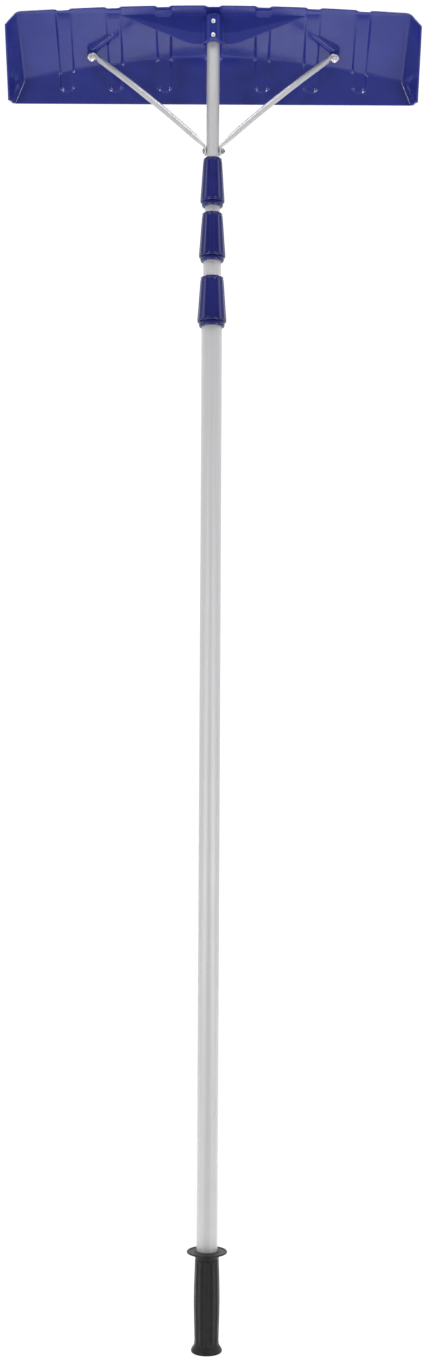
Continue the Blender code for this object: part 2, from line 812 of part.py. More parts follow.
def socket_screw(name, z, finish, parent):
    """Pan-head screw through the socket's front into the tube."""
    seat = (0, -SOCKET_RADIUS - GAP, z)
    head = SCREW_HEAD_RADIUS
    profile = [
        (0, 9.5 * MM),
        (0.6 * MM, 9.5 * MM),
        (SCREW_RADIUS, 6.5 * MM),
        (SCREW_RADIUS, 0),
        (head, 0),
        (head, -0.8 * MM),
        (0.75 * head, -1.8 * MM),
        (0, -2.1 * MM),
    ]
    return lathe_along(name, profile, seat, (0, 1, 0), finish, parent)


def drill_top_tube(solid, finish):
    """Holes in the top tube for the cross bolt and the socket screws."""
    cross = cylinder("cross_hole", BOLT_RADIUS + GAP, 40 * MM, (0, 0, CROSS_Z), (1, 0, 0),
                     finish, 12)
    combine(solid, as_cutter(cross), 'DIFFERENCE')
    for z in SCREW_Z:
        hole = cylinder(f"tube_hole_{z:.3f}", SCREW_RADIUS + GAP, 12 * MM, (0, -10 * MM, z),
                        (0, 1, 0), finish, 12)
        combine(solid, as_cutter(hole), 'DIFFERENCE')


def fixings(finish, parent):
    """Bolts, nuts and screws of the scoop and braces."""
    for side, word in ((-1, "left"), (1, "right")):
        point, axis = tab_frame(side)
        seat = BOSS_PAD + GAP
        nut_drop = TAB_HALF_THICK + GAP + NUT_HEIGHT / 2
        length = seat + nut_drop + NUT_HEIGHT / 2 + 3 * MM
        domed_bolt(f"brace_bolt_{word}", point + axis * seat, -axis, length, finish, parent)
        hex_nut(f"brace_nut_{word}", point - axis * nut_drop, axis, finish, parent)
    outside = CROSS_TAB_X + TAB_HALF_THICK + GAP
    domed_bolt("cross_bolt", (-outside, 0, CROSS_Z), (1, 0, 0), 2 * outside + NUT_HEIGHT + 2 * MM,
               finish, parent)
    hex_nut("cross_nut", (outside + NUT_HEIGHT / 2, 0, CROSS_Z), (1, 0, 0), finish, parent)
    for z, word in zip(SCREW_Z, ("lower", "upper")):
        socket_screw(f"socket_screw_{word}", z, finish, parent)


# ---------------------------------------------------------------- assembly

def main():
    """Build the whole rake, each moving group under its own empty."""
    start()
    looks = finishes()
    handle = pivot("handle_axis", (0, 0, 0))
    sections = [handle]
    for index in range(1, 4):
        sections.append(pivot(f"section_{index + 1}_axis", (0, 0, 0), sections[-1]))
    grip(looks["grip_black"], handle)
    base_plug(looks["plug_white"], handle)
    for index, section in enumerate(sections):
        solid = tube(index, looks["tube_silver"], section)
        if index == 3:
            drill_top_tube(solid, looks["tube_silver"])
        if index > 0:
            guide_plug(index, looks["plug_white"], section)
        if index < 3:
            collet(index, looks["lock_blue"], section)
            twist = pivot(f"lock_{index + 1}_axis", (0, 0, 0), section)
            twist_sleeve(index, looks["lock_blue"], twist)
    top = sections[3]
    scoop(looks["scoop_blue"], top)
    brace("brace_left", -1, looks["tube_silver"], top)
    brace("brace_right", 1, looks["tube_silver"], top)
    fixings(looks["steel"], top)


main()
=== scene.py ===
"""Looks of the telescoping roof snow rake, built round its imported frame.

Metres, in the CAD's frame: the pole's axis is Z and the grip's end is at z = 0.
"""
import math

import bmesh
import bpy
from mathutils import Matrix, Vector


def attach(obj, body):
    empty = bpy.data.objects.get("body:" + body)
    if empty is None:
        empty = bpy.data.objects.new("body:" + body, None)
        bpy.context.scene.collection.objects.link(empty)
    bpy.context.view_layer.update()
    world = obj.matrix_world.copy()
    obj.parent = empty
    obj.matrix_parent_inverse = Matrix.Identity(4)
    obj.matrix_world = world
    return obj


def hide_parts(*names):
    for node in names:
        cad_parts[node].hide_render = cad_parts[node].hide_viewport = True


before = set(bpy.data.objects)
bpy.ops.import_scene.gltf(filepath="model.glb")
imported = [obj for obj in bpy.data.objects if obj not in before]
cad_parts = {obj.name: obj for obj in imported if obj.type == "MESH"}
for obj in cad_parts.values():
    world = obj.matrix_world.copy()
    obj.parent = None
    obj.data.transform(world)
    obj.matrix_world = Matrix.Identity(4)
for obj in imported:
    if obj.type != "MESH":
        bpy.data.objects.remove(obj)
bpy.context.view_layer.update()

MM = 0.001


def mm(*values):
    """Lengths in metres from millimetres."""
    return tuple(value * MM for value in values)


# Pole: outside diameter, lower end and upper end of each tube, from the grip up.
TUBE_WALL = 1.2 * MM
TUBES = (mm(32, 4.0, 1612), mm(28, 20.3, 1712), mm(24, 42.3, 1801), mm(20, 64.3, 2057))
SECTIONS = ("handle", "section_2", "section_3", "section_4")

# Twist locks: heights of the ring's foot, the sleeve's foot and the sleeve's top, then diameters
# of the ring, the sleeve's foot and the sleeve's top.
LOCKS = (
    mm(1570, 1577.5, 1649, 40.2, 45.4, 35.6),
    mm(1673, 1680, 1750, 36.8, 41.4, 31.6),
    mm(1760, 1767, 1837, 33.2, 37.8, 29.0),
)
THREAD_DEPTH = 1.6 * MM
FINGER_WALL = 1.4 * MM
GAP = 0.3 * MM
FLUTES = 12
FLUTE_DEPTH = 1.2 * MM
FLUTE_POWER = 0.8

GRIP_LENGTH = 152 * MM
GRIP_FLOOR = 3.7 * MM
GUARD_RADIUS = 30.8 * MM
GRIP_RIBS = 12
GRIP_RIB_DEPTH = 1.1 * MM
# Grip below its guard: radius and height in mm, and the share of the ribs' depth.
GRIP_BODY = (
    (0, 0, 0), (21.4, 0, 0), (23.3, 1.2, 0), (23.6, 3.4, 0), (22.8, 5.8, 0), (20.4, 9, 0),
    (18.8, 12.5, 0.35), (18.2, 18, 1), (18.6, 34, 1), (19.25, 58, 1), (19.6, 78, 1),
    (19.35, 98, 1), (18.8, 116, 1), (18.3, 130, 1), (18.2, 136.5, 0.8), (18.1, 138.3, 0),
    (17.6, 139.1, 0), (17.6, 140.1, 0), (18.2, 140.9, 0), (18.7, 143.6, 0), (20.6, 146, 0),
)

# Scoop: the CAD's corners, rounded more finely, with the end walls 0.1 mm further in.
SKIN = 2.6 * MM
CREASE = mm(-2, 2067.2)
LIP_CENTRE = 16 * MM
LIP_END = 2 * MM
LIP_ANGLE = math.radians(25)
JUNCTION_Y = mm(82, 91)
JUNCTION_Z = mm(2033.4, 1997.4)
EDGE = mm(97, 1960.1)
FOLD_X = 307.9 * MM
CORNER_X = 325 * MM
WING_X = 325.3 * MM
WING_TOP = mm(-13, 2044.1)
WING_FOOT = mm(53, 1948.4)
CREASE_ROUND = 1.8 * MM
JUNCTION_ROUND = 2.6 * MM
RIB_JUNCTION_ROUND = 6.5 * MM
FOLD_ROUND = 6 * MM
FACETS = ((0.28, 2.2 * MM), (0.8, 2.0 * MM), (0.28, 2.2 * MM))
FACET_EASE = 0.15 * MM
EDGE_ROUND = 0.8 * MM

RIB_PITCH = 78.85 * MM
RIB_SIDE_COUNT = 3
RIB_HEIGHT = 3 * MM
RIB_RIM_HEIGHT = 3.2 * MM
RIB_LIP_HEIGHT = 0.5 * MM
RIB_FOOT_HEIGHT = 2 * MM
RIB_HALF_TOP = 13.6 * MM
RIB_HALF_FOOT = 12 * MM
RIB_SIDE = 3.4 * MM
RIB_ROUND = 1.2 * MM
RIB_END_Z = 1976.8 * MM
RIB_BACK_INSET = 1.5 * MM

SOCKET_RADIUS = 13.7 * MM
SOCKET_MOUTH = 2019.5 * MM
SOCKET_TOP = 2065.5 * MM
COLLAR_RADIUS = 16 * MM
COLLAR_HEIGHT = 4 * MM
WEB_HALF = 146.6 * MM
WEB_FOOT_HALF = 34 * MM
WEB_THICK = 2.6 * MM
WEB_Y = mm(0.4, 0.8, 4.0)
WEB_Z = mm(2067.8, 2039, 2022.2)
WEB_FILLET = 5 * MM
SCREW_Z = mm(2029, 2051)

BRACE_RADIUS = 4.75 * MM
TAB_HALF_THICK = 1.3 * MM
TAB_HALF_WIDTH = 7 * MM
BOLT_X = 194.4 * MM
BOLT_Y = 54 * MM
TAB_Z = 2020.4 * MM
BOSS_RADIUS = 8 * MM
BOSS_TILT = math.radians(28)
BOSS_SEAT = TAB_HALF_THICK + GAP
BOSS_PAD = 18.5 * MM
RIDGE = mm(154, 27.5, 2046.5)
RIDGE_RISE = 7 * MM
RIDGE_HALF = (0.82 * BOSS_RADIUS, 0.62 * BOSS_RADIUS)
RIDGE_SUNK = 0.3 * SKIN
BOLT_RADIUS = 2.5 * MM
NUT_FLATS = 8 * MM
NUT_HEIGHT = 4.2 * MM
CROSS_Z = 1849.2 * MM
CROSS_TAB_X = 11.6 * MM

SIDES = ((-1, "left"), (1, "right"))
WELD = 0.002 * MM
LEG_SHARE = 0.45  # most of a leg that one rounded corner may use

CAMERA_PLACE = (0.005505, -2.74395, 0.880463)
CAMERA_LENS = 47.08
CAMERA_PITCH = math.radians(2.88)
CAMERA_ROLL = 0.005148
FLOOR_REACH = 14.0
WHITE = 1.05  # strength at which the floor and the backdrop show as white


# ---------------- materials

def add_node(tree, kind, inputs=None, **settings):
    """A shader node with its settings, and its inputs set or linked."""
    made = tree.nodes.new(kind)
    for name, value in settings.items():
        setattr(made, name, value)
    for name, value in (inputs or {}).items():
        socket = made.inputs[name]
        if isinstance(value, bpy.types.NodeSocket):
            tree.links.new(value, socket)
        else:
            socket.default_value = value
    return made


def noise(tree, place, scale, detail=2.0, stretch=(1, 1, 1)):
    """Noise of a given scale in the piece's own space."""
    mapping = add_node(tree, "ShaderNodeMapping", {"Vector": place, "Scale": stretch})
    made = add_node(tree, "ShaderNodeTexNoise",
                    {"Vector": mapping.outputs[0], "Scale": scale, "Detail": detail})
    return made.outputs["Fac"]


def spread(tree, value, low, high, out_low, out_high):
    """Map a value from one range to another."""
    made = add_node(tree, "ShaderNodeMapRange", {
        "Value": value, "From Min": low, "From Max": high, "To Min": out_low, "To Max": out_high})
    return made.outputs[0]


def mixed(tree, amount, first, second):
    """Mix two colours."""
    made = add_node(tree, "ShaderNodeMix", data_type="RGBA")
    tree.links.new(amount, made.inputs[0])
    for socket, colour in ((made.inputs[6], first), (made.inputs[7], second)):
        if isinstance(colour, bpy.types.NodeSocket):
            tree.links.new(colour, socket)
        else:
            socket.default_value = (*colour, 1)
    return made.outputs[2]


def bumped(tree, layers):
    """A normal built from layers of (height, distance, strength)."""
    normal = None
    for height, distance, strength in layers:
        inputs = {"Height": height, "Distance": distance, "Strength": strength}
        if normal is not None:
            inputs["Normal"] = normal
        normal = add_node(tree, "ShaderNodeBump", inputs).outputs[0]
    return normal


def new_look(name):
    """A node material with its tree, shader and the piece's coordinates."""
    made = bpy.data.materials.new(name)
    made.use_nodes = True
    tree = made.node_tree
    shader = tree.nodes["Principled BSDF"]
    place = add_node(tree, "ShaderNodeTexCoord").outputs["Object"]
    return made, tree, shader, place


def wire(tree, shader, colour, rough, *layers):
    """Link a colour, a roughness and layers of bump to a shader."""
    tree.links.new(colour, shader.inputs["Base Color"])
    tree.links.new(rough, shader.inputs["Roughness"])
    tree.links.new(bumped(tree, layers), shader.inputs["Normal"])


def moulded_plastic(name, deep, pale, worn, rough):
    """Glossy moulded polymer: faint mottling, shallow waves, fine grain and scuffed edges."""
    made, tree, shader, place = new_look(name)
    mottle = spread(tree, noise(tree, place, 22, 5), 0.3, 0.7, 0, 1)
    body = mixed(tree, mottle, deep, pale)
    edges = add_node(tree, "ShaderNodeNewGeometry").outputs["Pointiness"]
    scuff = spread(tree, noise(tree, place, 140, 4), 0.35, 0.75, 0.2, 1)
    edge = spread(tree, edges, 0.52, 0.62, 0, 0.55)
    wear = add_node(tree, "ShaderNodeMath", {0: edge, 1: scuff}, operation="MULTIPLY").outputs[0]
    gloss = spread(tree, noise(tree, place, 60, 6), 0.3, 0.7, *rough)
    waves = noise(tree, place, 28, 1.5)
    grain = noise(tree, place, 1400, 2)
    wire(tree, shader, mixed(tree, wear, body, worn), gloss,
         (waves, 0.0012, 0.35), (grain, 0.00003, 0.25))
    shader.inputs["IOR"].default_value = 1.5
    return made


def anodised(name, colour, shade, rough, metal):
    """Satin anodised aluminium drawn along the pole, with faint streaks."""
    made, tree, shader, place = new_look(name)
    streaks = noise(tree, place, 1, 4, (900, 900, 4))
    patches = noise(tree, place, 9, 4)
    amount = spread(tree, streaks, 0.25, 0.75, 0, 1)
    wire(tree, shader, mixed(tree, amount, shade, colour),
         spread(tree, patches, 0.3, 0.7, *rough), (streaks, 0.00002, 0.3))
    shader.inputs["Metallic"].default_value = metal
    return made


def black_rubber(name):
    """Matt black rubber with a fine grain, a little dust and polished high spots."""
    made, tree, shader, place = new_look(name)
    dust = spread(tree, noise(tree, place, 70, 6), 0.4, 0.75, 0, 1)
    sheen = spread(tree, noise(tree, place, 45, 4), 0.3, 0.7, 0.36, 0.5)
    grain = noise(tree, place, 2200, 3)
    dents = noise(tree, place, 160, 3)
    wire(tree, shader, mixed(tree, dust, (0.005, 0.005, 0.005), (0.012, 0.012, 0.011)), sheen,
         (grain, 0.00006, 0.35), (dents, 0.0002, 0.2))
    shader.inputs["Specular IOR Level"].default_value = 0.32
    return made


def clouded(name, tones, scales, rough, grain, metal=0.0):
    """Two close tones with uneven polish and a fine grain."""
    made, tree, shader, place = new_look(name)
    clouds, polish, fine = (noise(tree, place, scale, detail)
                            for scale, detail in zip(scales, (4, 3, 2)))
    tone = spread(tree, clouds, 0.3, 0.7, 0, 1)
    wire(tree, shader, mixed(tree, tone, *tones), spread(tree, polish, 0.3, 0.7, *rough),
         (fine, grain, 0.3))
    shader.inputs["Metallic"].default_value = metal
    return made


def zinc(name, metal, level=1.0):
    """Zinc plate with faint clouding; a level below 1 darkens both tones as painted shade."""
    tones = [tuple(level * value for value in tone)
             for tone in ((0.74, 0.74, 0.72), (0.9, 0.9, 0.89))]
    return clouded(name, tones, (260, 500, 1800), (0.16, 0.3), 0.00002, metal)


def nylon(name):
    """Natural white nylon."""
    tones = (0.68, 0.68, 0.64), (0.78, 0.78, 0.75)
    return clouded(name, tones, (120, 300, 1500), (0.38, 0.55), 0.00004)


LOOKS = {
    "scoop_blue": moulded_plastic("scoop_plastic", (0.018, 0.027, 0.226), (0.024, 0.036, 0.268),
                                  (0.17, 0.2, 0.4), (0.13, 0.2)),
    "lock_blue": moulded_plastic("lock_plastic", (0.01, 0.012, 0.12), (0.014, 0.017, 0.155),
                                 (0.04, 0.05, 0.25), (0.2, 0.28)),
    "tube_silver": anodised("tube_anodised", (0.69, 0.69, 0.7), (0.62, 0.62, 0.63),
                            (0.54, 0.61), 0.76),
    "brace_satin": anodised("brace_anodised", (0.7, 0.7, 0.71), (0.62, 0.62, 0.63),
                            (0.4, 0.48), 0.45),
    "grip_black": black_rubber("grip_rubber"),
    "plug_white": nylon("plug_nylon"),
    "steel": zinc("fixing_zinc", 0.85),
    "screw_bright": zinc("screw_zinc", 0.45),
    # Cross bolt and nut: the same zinc with its tones cut to 0.42, painted shade for the shadow
    # round the lower tabs.
    "cross_shaded": zinc("cross_zinc_shaded", 0.85, 0.42),
}


# ---------------- building blocks

def blend(start, end, amount):
    """A value or point between two others."""
    return start + (end - start) * amount


def ease(amount):
    """A smooth step from 0 to 1."""
    amount = min(max(amount, 0.0), 1.0)
    return amount * amount * (3 - 2 * amount)


def angles(sides):
    """Equal steps round a full turn."""
    return [2 * math.pi * i / sides for i in range(sides)]


def placed(name, data):
    """A new object in the scene."""
    made = bpy.data.objects.new(name, data)
    bpy.context.scene.collection.objects.link(made)
    return made


def present(name, mesh, finish, body, *nodes, angle=38, look=None):
    """Show a mesh as a piece that rides on a body and stands for CAD nodes."""
    mesh.shade_smooth()
    mesh.set_sharp_from_angle(angle=math.radians(angle))
    mesh.materials.append(LOOKS[look or finish])
    piece = placed(name, mesh)
    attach(piece, body)
    if nodes:
        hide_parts(*nodes)
    return piece


def mesh_from(points, faces):
    """A mesh from points and faces, with its normals turned outwards."""
    made = bmesh.new()
    verts = [made.verts.new(point) for point in points]
    for face in faces:
        corners = [verts[i] for i in face]
        if len(set(corners)) > 2:
            made.faces.new(corners)
    bmesh.ops.remove_doubles(made, verts=made.verts, dist=WELD)
    bmesh.ops.recalc_face_normals(made, faces=made.faces)
    mesh = bpy.data.meshes.new("piece")
    made.to_mesh(mesh)
    made.free()
    return mesh


def loft(rings, loop=False, caps=True):
    """A closed skin over rings of points that all have the same count."""
    count = len(rings[0])
    points = [point for ring in rings for point in ring]
    faces = []
    spans = len(rings) if loop else len(rings) - 1
    for i in range(spans):
        low = i * count
        high = ((i + 1) % len(rings)) * count
        for j in range(count):
            k = (j + 1) % count
            faces.append((low + j, low + k, high + k, high + j))
    if caps and not loop:
        faces.append(tuple(range(count))[::-1])
        faces.append(tuple((len(rings) - 1) * count + j for j in range(count)))
    return mesh_from(points, faces)


def corner_legs(before, corner, after, size):
    """Where a rounded corner starts and ends on its two legs."""
    leg_in = before - corner
    leg_out = after - corner
    first = corner + leg_in.normalized() * min(size, leg_in.length * LEG_SHARE)
    last = corner + leg_out.normalized() * min(size, leg_out.length * LEG_SHARE)
    return first, last


def bent(first, corner, last, t):
    """The point that is t of the way round a rounded corner."""
    return first * (1 - t) ** 2 + corner * 2 * t * (1 - t) + last * t ** 2


def round_corners(points, size, steps=4, loop=False):
    """A line of (radius, height, ...) points with its corners rounded."""
    corners = [Vector(point) for point in points]
    made = []
    for i, corner in enumerate(corners):
        if not loop and i in (0, len(corners) - 1):
            made.append(corner)
            continue
        first, last = corner_legs(corners[i - 1], corner, corners[(i + 1) % len(corners)], size)
        made += [bent(first, corner, last, k / steps) for k in range(steps + 1)]
    return made


def lathe(profile, sides=96, loop=False, flutes=0, depth=0.0):
    """Turn a profile of (radius, height, flute share) round Z."""
    rings = []
    for radius, height, share in profile:
        ring = []
        for angle in angles(sides):
            dip = 0
            if flutes:
                dip = depth * share * (0.5 - 0.5 * math.cos(flutes * angle)) ** FLUTE_POWER
            reach = max(radius - dip, 0)
            ring.append((reach * math.cos(angle), reach * math.sin(angle), height))
        rings.append(ring)
    return loft(rings, loop, caps=False)


def laid(mesh, origin, axis):
    """Lay a mesh that was turned round Z along another axis."""
    turn = Vector((0, 0, 1)).rotation_difference(Vector(axis)).to_matrix().to_4x4()
    mesh.transform(Matrix.Translation(origin) @ turn)
    return mesh


def flat_profile(points):
    """Profile points with no flutes."""
    return [(radius, height, 0) for radius, height in points]


# ---------------- pole and locks

def make_tube(index):
    """A drawn tube with eased ends."""
    diameter, low, high = TUBES[index]
    outer = diameter / 2
    inner = outer - TUBE_WALL
    corners = flat_profile([(outer, high), (outer, low), (inner, low), (inner, high)])
    profile = round_corners(corners, 0.35 * MM, 3, loop=True)
    name = f"tube_{index + 1}"
    present(f"{name}_drawn", lathe(profile, 96, True), "tube_silver", SECTIONS[index], name)


def make_collet(index):
    """Ring and collet below a sleeve, with its thread left plain."""
    ring_low, sleeve_low, sleeve_high, ring_diameter = LOCKS[index][:4]
    outer = TUBES[index][0] / 2 + GAP
    shoulder = TUBES[index][2] + GAP
    finger = TUBES[index + 1][0] / 2 + GAP
    ring = ring_diameter / 2
    thread = TUBES[index][0] / 2 + GAP + THREAD_DEPTH
    top = sleeve_high - 5 * MM
    corners = [
        (finger + 0.7 * FINGER_WALL, top),
        (finger + FINGER_WALL, top - 3 * MM),
        (thread, shoulder + 6 * MM),
        (thread, sleeve_low - GAP),
        (ring - 0.4 * MM, sleeve_low - GAP),
        (ring, sleeve_low - 1.2 * MM),
        (ring, ring_low + 2.0 * MM),
        (ring - 0.5 * MM, ring_low + 1.7 * MM),
        (ring - 0.7 * MM, ring_low + 0.6 * MM),
        (ring - 1.5 * MM, ring_low),
        (outer, ring_low),
        (outer, shoulder),
        (finger, shoulder),
        (finger, top),
    ]
    profile = round_corners(flat_profile(corners), 0.4 * MM, 2, loop=True)
    name = f"lock_{index + 1}_collet"
    present(f"{name}_moulded", lathe(profile, 96, True), "lock_blue", SECTIONS[index], name)


def make_sleeve(index):
    """Tapered sleeve with broad flutes, a grooved top band and a chamfered foot."""
    sleeve_low, sleeve_high, _, low_diameter, high_diameter = LOCKS[index][1:]
    low = low_diameter / 2
    high = high_diameter / 2
    length = sleeve_high - sleeve_low
    thread = TUBES[index][0] / 2 + 2 * GAP + THREAD_DEPTH
    shoulder = TUBES[index][2] + GAP - sleeve_low
    mouth = TUBES[index + 1][0] / 2 + 2 * GAP
    finger = mouth + FINGER_WALL
    outer = [
        (low - 0.7 * MM, 0.0, 0.0),
        (low - 0.05 * MM, 0.8 * MM, 0.0),
        (low, 2.6 * MM, 0.0),
        (low, 4.2 * MM, 1.0),
        (blend(low, high, 0.35) + 0.1 * MM, 0.35 * length, 1.0),
        (blend(low, high, 0.7) + 0.1 * MM, 0.7 * length, 1.0),
        (high + 0.35 * MM, length - 6.5 * MM, 1.0),
        (high + 0.1 * MM, length - 4.8 * MM, 0.3),
        (high - 0.45 * MM, length - 4.2 * MM, 0.0),
        (high - 0.45 * MM, length - 3.6 * MM, 0.0),
        (high, length - 3.1 * MM, 0.0),
        (high - 0.25 * MM, length - 1.2 * MM, 0.0),
        (high - 1.8 * MM, length, 0.0),
    ]
    inner = [
        (mouth, length, 0.0),
        (mouth, length - 3 * MM, 0.0),
        (finger + 0.3 * MM, length - 4.2 * MM, 0.0),
        (finger + 0.3 * MM, length - 8.5 * MM, 0.0),
        (thread, shoulder + 7 * MM, 0.0),
        (thread, 0.0, 0.0),
    ]
    corners = [(radius, sleeve_low + height, share) for radius, height, share in outer + inner]
    profile = round_corners(corners, 0.6 * MM, 3, loop=True)
    mesh = lathe(profile, 12 * FLUTES, True, FLUTES, FLUTE_DEPTH)
    name = f"lock_{index + 1}_sleeve"
    present(f"{name}_moulded", mesh, "lock_blue", f"lock_{index + 1}_twist", name)


# ---------------- grip

def make_grip():
    """Ribbed rubber grip with a dished guard and a flared end."""
    guard = GUARD_RADIUS
    outline = [(radius * MM, height * MM, share) for radius, height, share in GRIP_BODY]
    outline += [
        (guard - 2.2 * MM, 147.9 * MM, 0.0),
        (guard - 0.2 * MM, 148.7 * MM, 0.0),
        (guard, 150.0 * MM, 0.0),
        (guard - 0.8 * MM, 151.2 * MM, 0.0),
        (guard - 2.2 * MM, 151.2 * MM, 0.0),
        (guard - 3.4 * MM, 149.8 * MM, 0.0),
        (20.2 * MM, 150.2 * MM, 0.0),
        (18.7 * MM, 151.8 * MM, 0.0),
        (17.2 * MM, GRIP_LENGTH, 0.0),
        (TUBES[0][0] / 2 + GAP, 151.2 * MM, 0.0),
        (TUBES[0][0] / 2 + GAP, GRIP_FLOOR, 0.0),
        (0.0, GRIP_FLOOR, 0.0),
    ]
    profile = round_corners(outline, 1.0 * MM, 3)
    mesh = lathe(profile, 12 * GRIP_RIBS, False, GRIP_RIBS, GRIP_RIB_DEPTH)
    present("grip_rubber", mesh, "grip_black", "handle", "grip", angle=50)


# ---------------- scoop skin

def scoop_corners(across):
    """Rim, crease, junction and leading edge of the section at a distance across."""
    side = min(abs(across) / FOLD_X, 1.0)
    crease = Vector((0, *CREASE))
    lip = blend(LIP_CENTRE, LIP_END, side ** 2)
    rim = crease + Vector((0, -math.cos(LIP_ANGLE), math.sin(LIP_ANGLE))) * lip
    junction = Vector((0, blend(*JUNCTION_Y, side ** 2), blend(*JUNCTION_Z, side ** 1.75)))
    return rim, crease, junction, Vector((0, *EDGE))


def straight(start, end, steps):
    """Points from a start up to, but not at, an end."""
    return [blend(start, end, i / steps) for i in range(steps)]


def curved(start, corner, end, steps):
    """Points of a rounded corner up to, but not at, its end."""
    return [bent(start, corner, end, i / steps) for i in range(steps)]


def junction_round(across):
    """Size of the bend at the junction, larger where the ribs' sides cross it."""
    nearest = round(across / RIB_PITCH)
    if abs(nearest) > RIB_SIDE_COUNT:
        return JUNCTION_ROUND
    off = abs(abs(across - nearest * RIB_PITCH) - RIB_HALF_TOP + RIB_SIDE / 2)
    return blend(RIB_JUNCTION_ROUND, JUNCTION_ROUND, ease(off / (1.6 * RIB_SIDE)))


# Rows of the skin in each zone from the rim down, and the rows over which the ribs rise.
LIP_ROWS, CREASE_ROWS, WALL_ROWS, BEND_ROWS = 8, 5, 20, 9
BLADE_ROWS, CAP_ROWS, FOOT_ROWS = 6, 24, 5
RIB_RISE_ROWS = 3
WALL_CROWDING = 1.7
WALL_START = LIP_ROWS + CREASE_ROWS
BEND_START = WALL_START + WALL_ROWS
BLADE_START = BEND_START + BEND_ROWS
CAP_START = BLADE_START + BLADE_ROWS
ROWS = CAP_START + CAP_ROWS + FOOT_ROWS + 1


def section_line(across):
    """The section's rows of points, rim first, and the centre of the ribs' rounded ends."""
    rim, crease, junction, edge = scoop_corners(across)
    crease_in, crease_out = corner_legs(rim, crease, junction, CREASE_ROUND)
    bend_in, bend_out = corner_legs(crease, junction, edge, junction_round(across))
    down = (edge - bend_out).normalized()
    reach = min(max((bend_out.z - RIB_END_Z) / (bend_out.z - edge.z), 0.3), 0.8)
    tip = blend(bend_out, edge, reach)
    centre = tip - down * RIB_HALF_FOOT
    points = straight(rim, crease_in, LIP_ROWS)
    points += curved(crease_in, crease, crease_out, CREASE_ROWS)
    points += [blend(crease_out, bend_in, 1 - (1 - i / WALL_ROWS) ** WALL_CROWDING)
               for i in range(WALL_ROWS)]
    points += curved(bend_in, junction, bend_out, BEND_ROWS)
    points += straight(bend_out, centre, BLADE_ROWS)
    points += straight(centre, tip + down * RIB_ROUND, CAP_ROWS)
    points += straight(tip + down * RIB_ROUND, edge, FOOT_ROWS)
    points.append(edge)
    return points, centre, down


def rib_half(row):
    """Half width of the ribs at a row."""
    return blend(RIB_HALF_TOP, RIB_HALF_FOOT, min(row / BLADE_START, 1.0))


def rib_height(across, row, point, centre, down, inset=0.0):
    """Height of the nearest rib at a point of the skin."""
    nearest = round(across / RIB_PITCH)
    if abs(nearest) > RIB_SIDE_COUNT:
        return 0.0
    off = abs(across - nearest * RIB_PITCH)
    past = (point - centre).dot(down) if row >= BLADE_START else -1.0
    away = math.hypot(off, past) if past > 0 else off
    inside = rib_half(row) - inset - away
    tall = blend(RIB_HEIGHT, RIB_FOOT_HEIGHT, ease((row - BEND_START) / BEND_ROWS))
    if row < LIP_ROWS:
        tall = blend(RIB_RIM_HEIGHT, RIB_LIP_HEIGHT, ease(2 * row / LIP_ROWS))
    elif row < WALL_START + RIB_RISE_ROWS:
        part = (row - LIP_ROWS) / (CREASE_ROWS + RIB_RISE_ROWS)
        tall = blend(RIB_LIP_HEIGHT, RIB_HEIGHT, ease(part))
    return tall * ease((inside + RIB_ROUND) / (RIB_SIDE + 2 * RIB_ROUND))


# Columns over half a rib, as shares of its half width, close together on its side.
RIB_SHARES = (0.15, 0.3, 0.45, 0.55, 0.61, 0.66, 0.71, 0.76,
              0.81, 0.86, 0.91, 0.96, 1.01, 1.06, 1.15)
BETWEEN_RIBS = 6


def columns(row):
    """Distances across the right half at a row, from the middle to past the last rib."""
    half = rib_half(row)
    places = [0.0] + [share * half for share in RIB_SHARES]
    for rib in range(1, RIB_SIDE_COUNT + 1):
        middle = rib * RIB_PITCH
        start = places[-1]
        end = middle - RIB_SHARES[-1] * half
        places += [blend(start, end, i / BETWEEN_RIBS) for i in range(1, BETWEEN_RIBS)]
        places += [middle - share * half for share in reversed(RIB_SHARES)]
        places += [middle] + [middle + share * half for share in RIB_SHARES]
    return places


TAIL_COLUMNS, FOLD_STEPS, WING_COLUMNS = 10, 11, 12


def crisp_fold(corner, leg_in, leg_out):
    """Points of narrow facets across a corner, eased where they meet."""
    moves = []
    reach_in, reach_out = 0.0, 0.0
    for share, width in FACETS:
        move = leg_out * share - leg_in * (1 - share)
        reach_in += (1 - share) * width / move.length
        reach_out += share * width / move.length
        moves.append(move.normalized() * width)
    near = corner + leg_in * reach_in
    far = corner + leg_out * reach_out
    points = [blend(corner + leg_in * FOLD_ROUND, near, 0.5), near + leg_in * FACET_EASE]
    start = near
    for move in moves:
        ease_in = move.normalized() * FACET_EASE
        points += [start + ease_in, start + move - ease_in]
        start = start + move
    points += [far + leg_out * FACET_EASE, blend(far, corner + leg_out * FOLD_ROUND, 0.5)]
    return points


def fold_path(corner, inner, free, crisp):
    """Points round the fold between the skin and an end wall: a soft bend or crisp facets."""
    leg_in = (inner - corner).normalized()
    leg_out = (free - corner).normalized()
    first = corner + leg_in * FOLD_ROUND
    last = corner + leg_out * FOLD_ROUND
    soft = [bent(first, corner, last, i / FOLD_STEPS) for i in range(FOLD_STEPS + 1)]
    hard = [first] + crisp_fold(corner, leg_in, leg_out) + [last]
    return [blend(a, b, crisp) for a, b in zip(soft, hard)]


FOLD_SOFT = 7 * MM
WING_SOFT = 34 * MM


def ramp(amount, soft):
    """Zero below a corner and the amount itself above it, eased over the corner."""
    if amount < -soft:
        return 0.0
    if amount > soft:
        return amount
    return (amount + soft) ** 2 / (4 * soft)


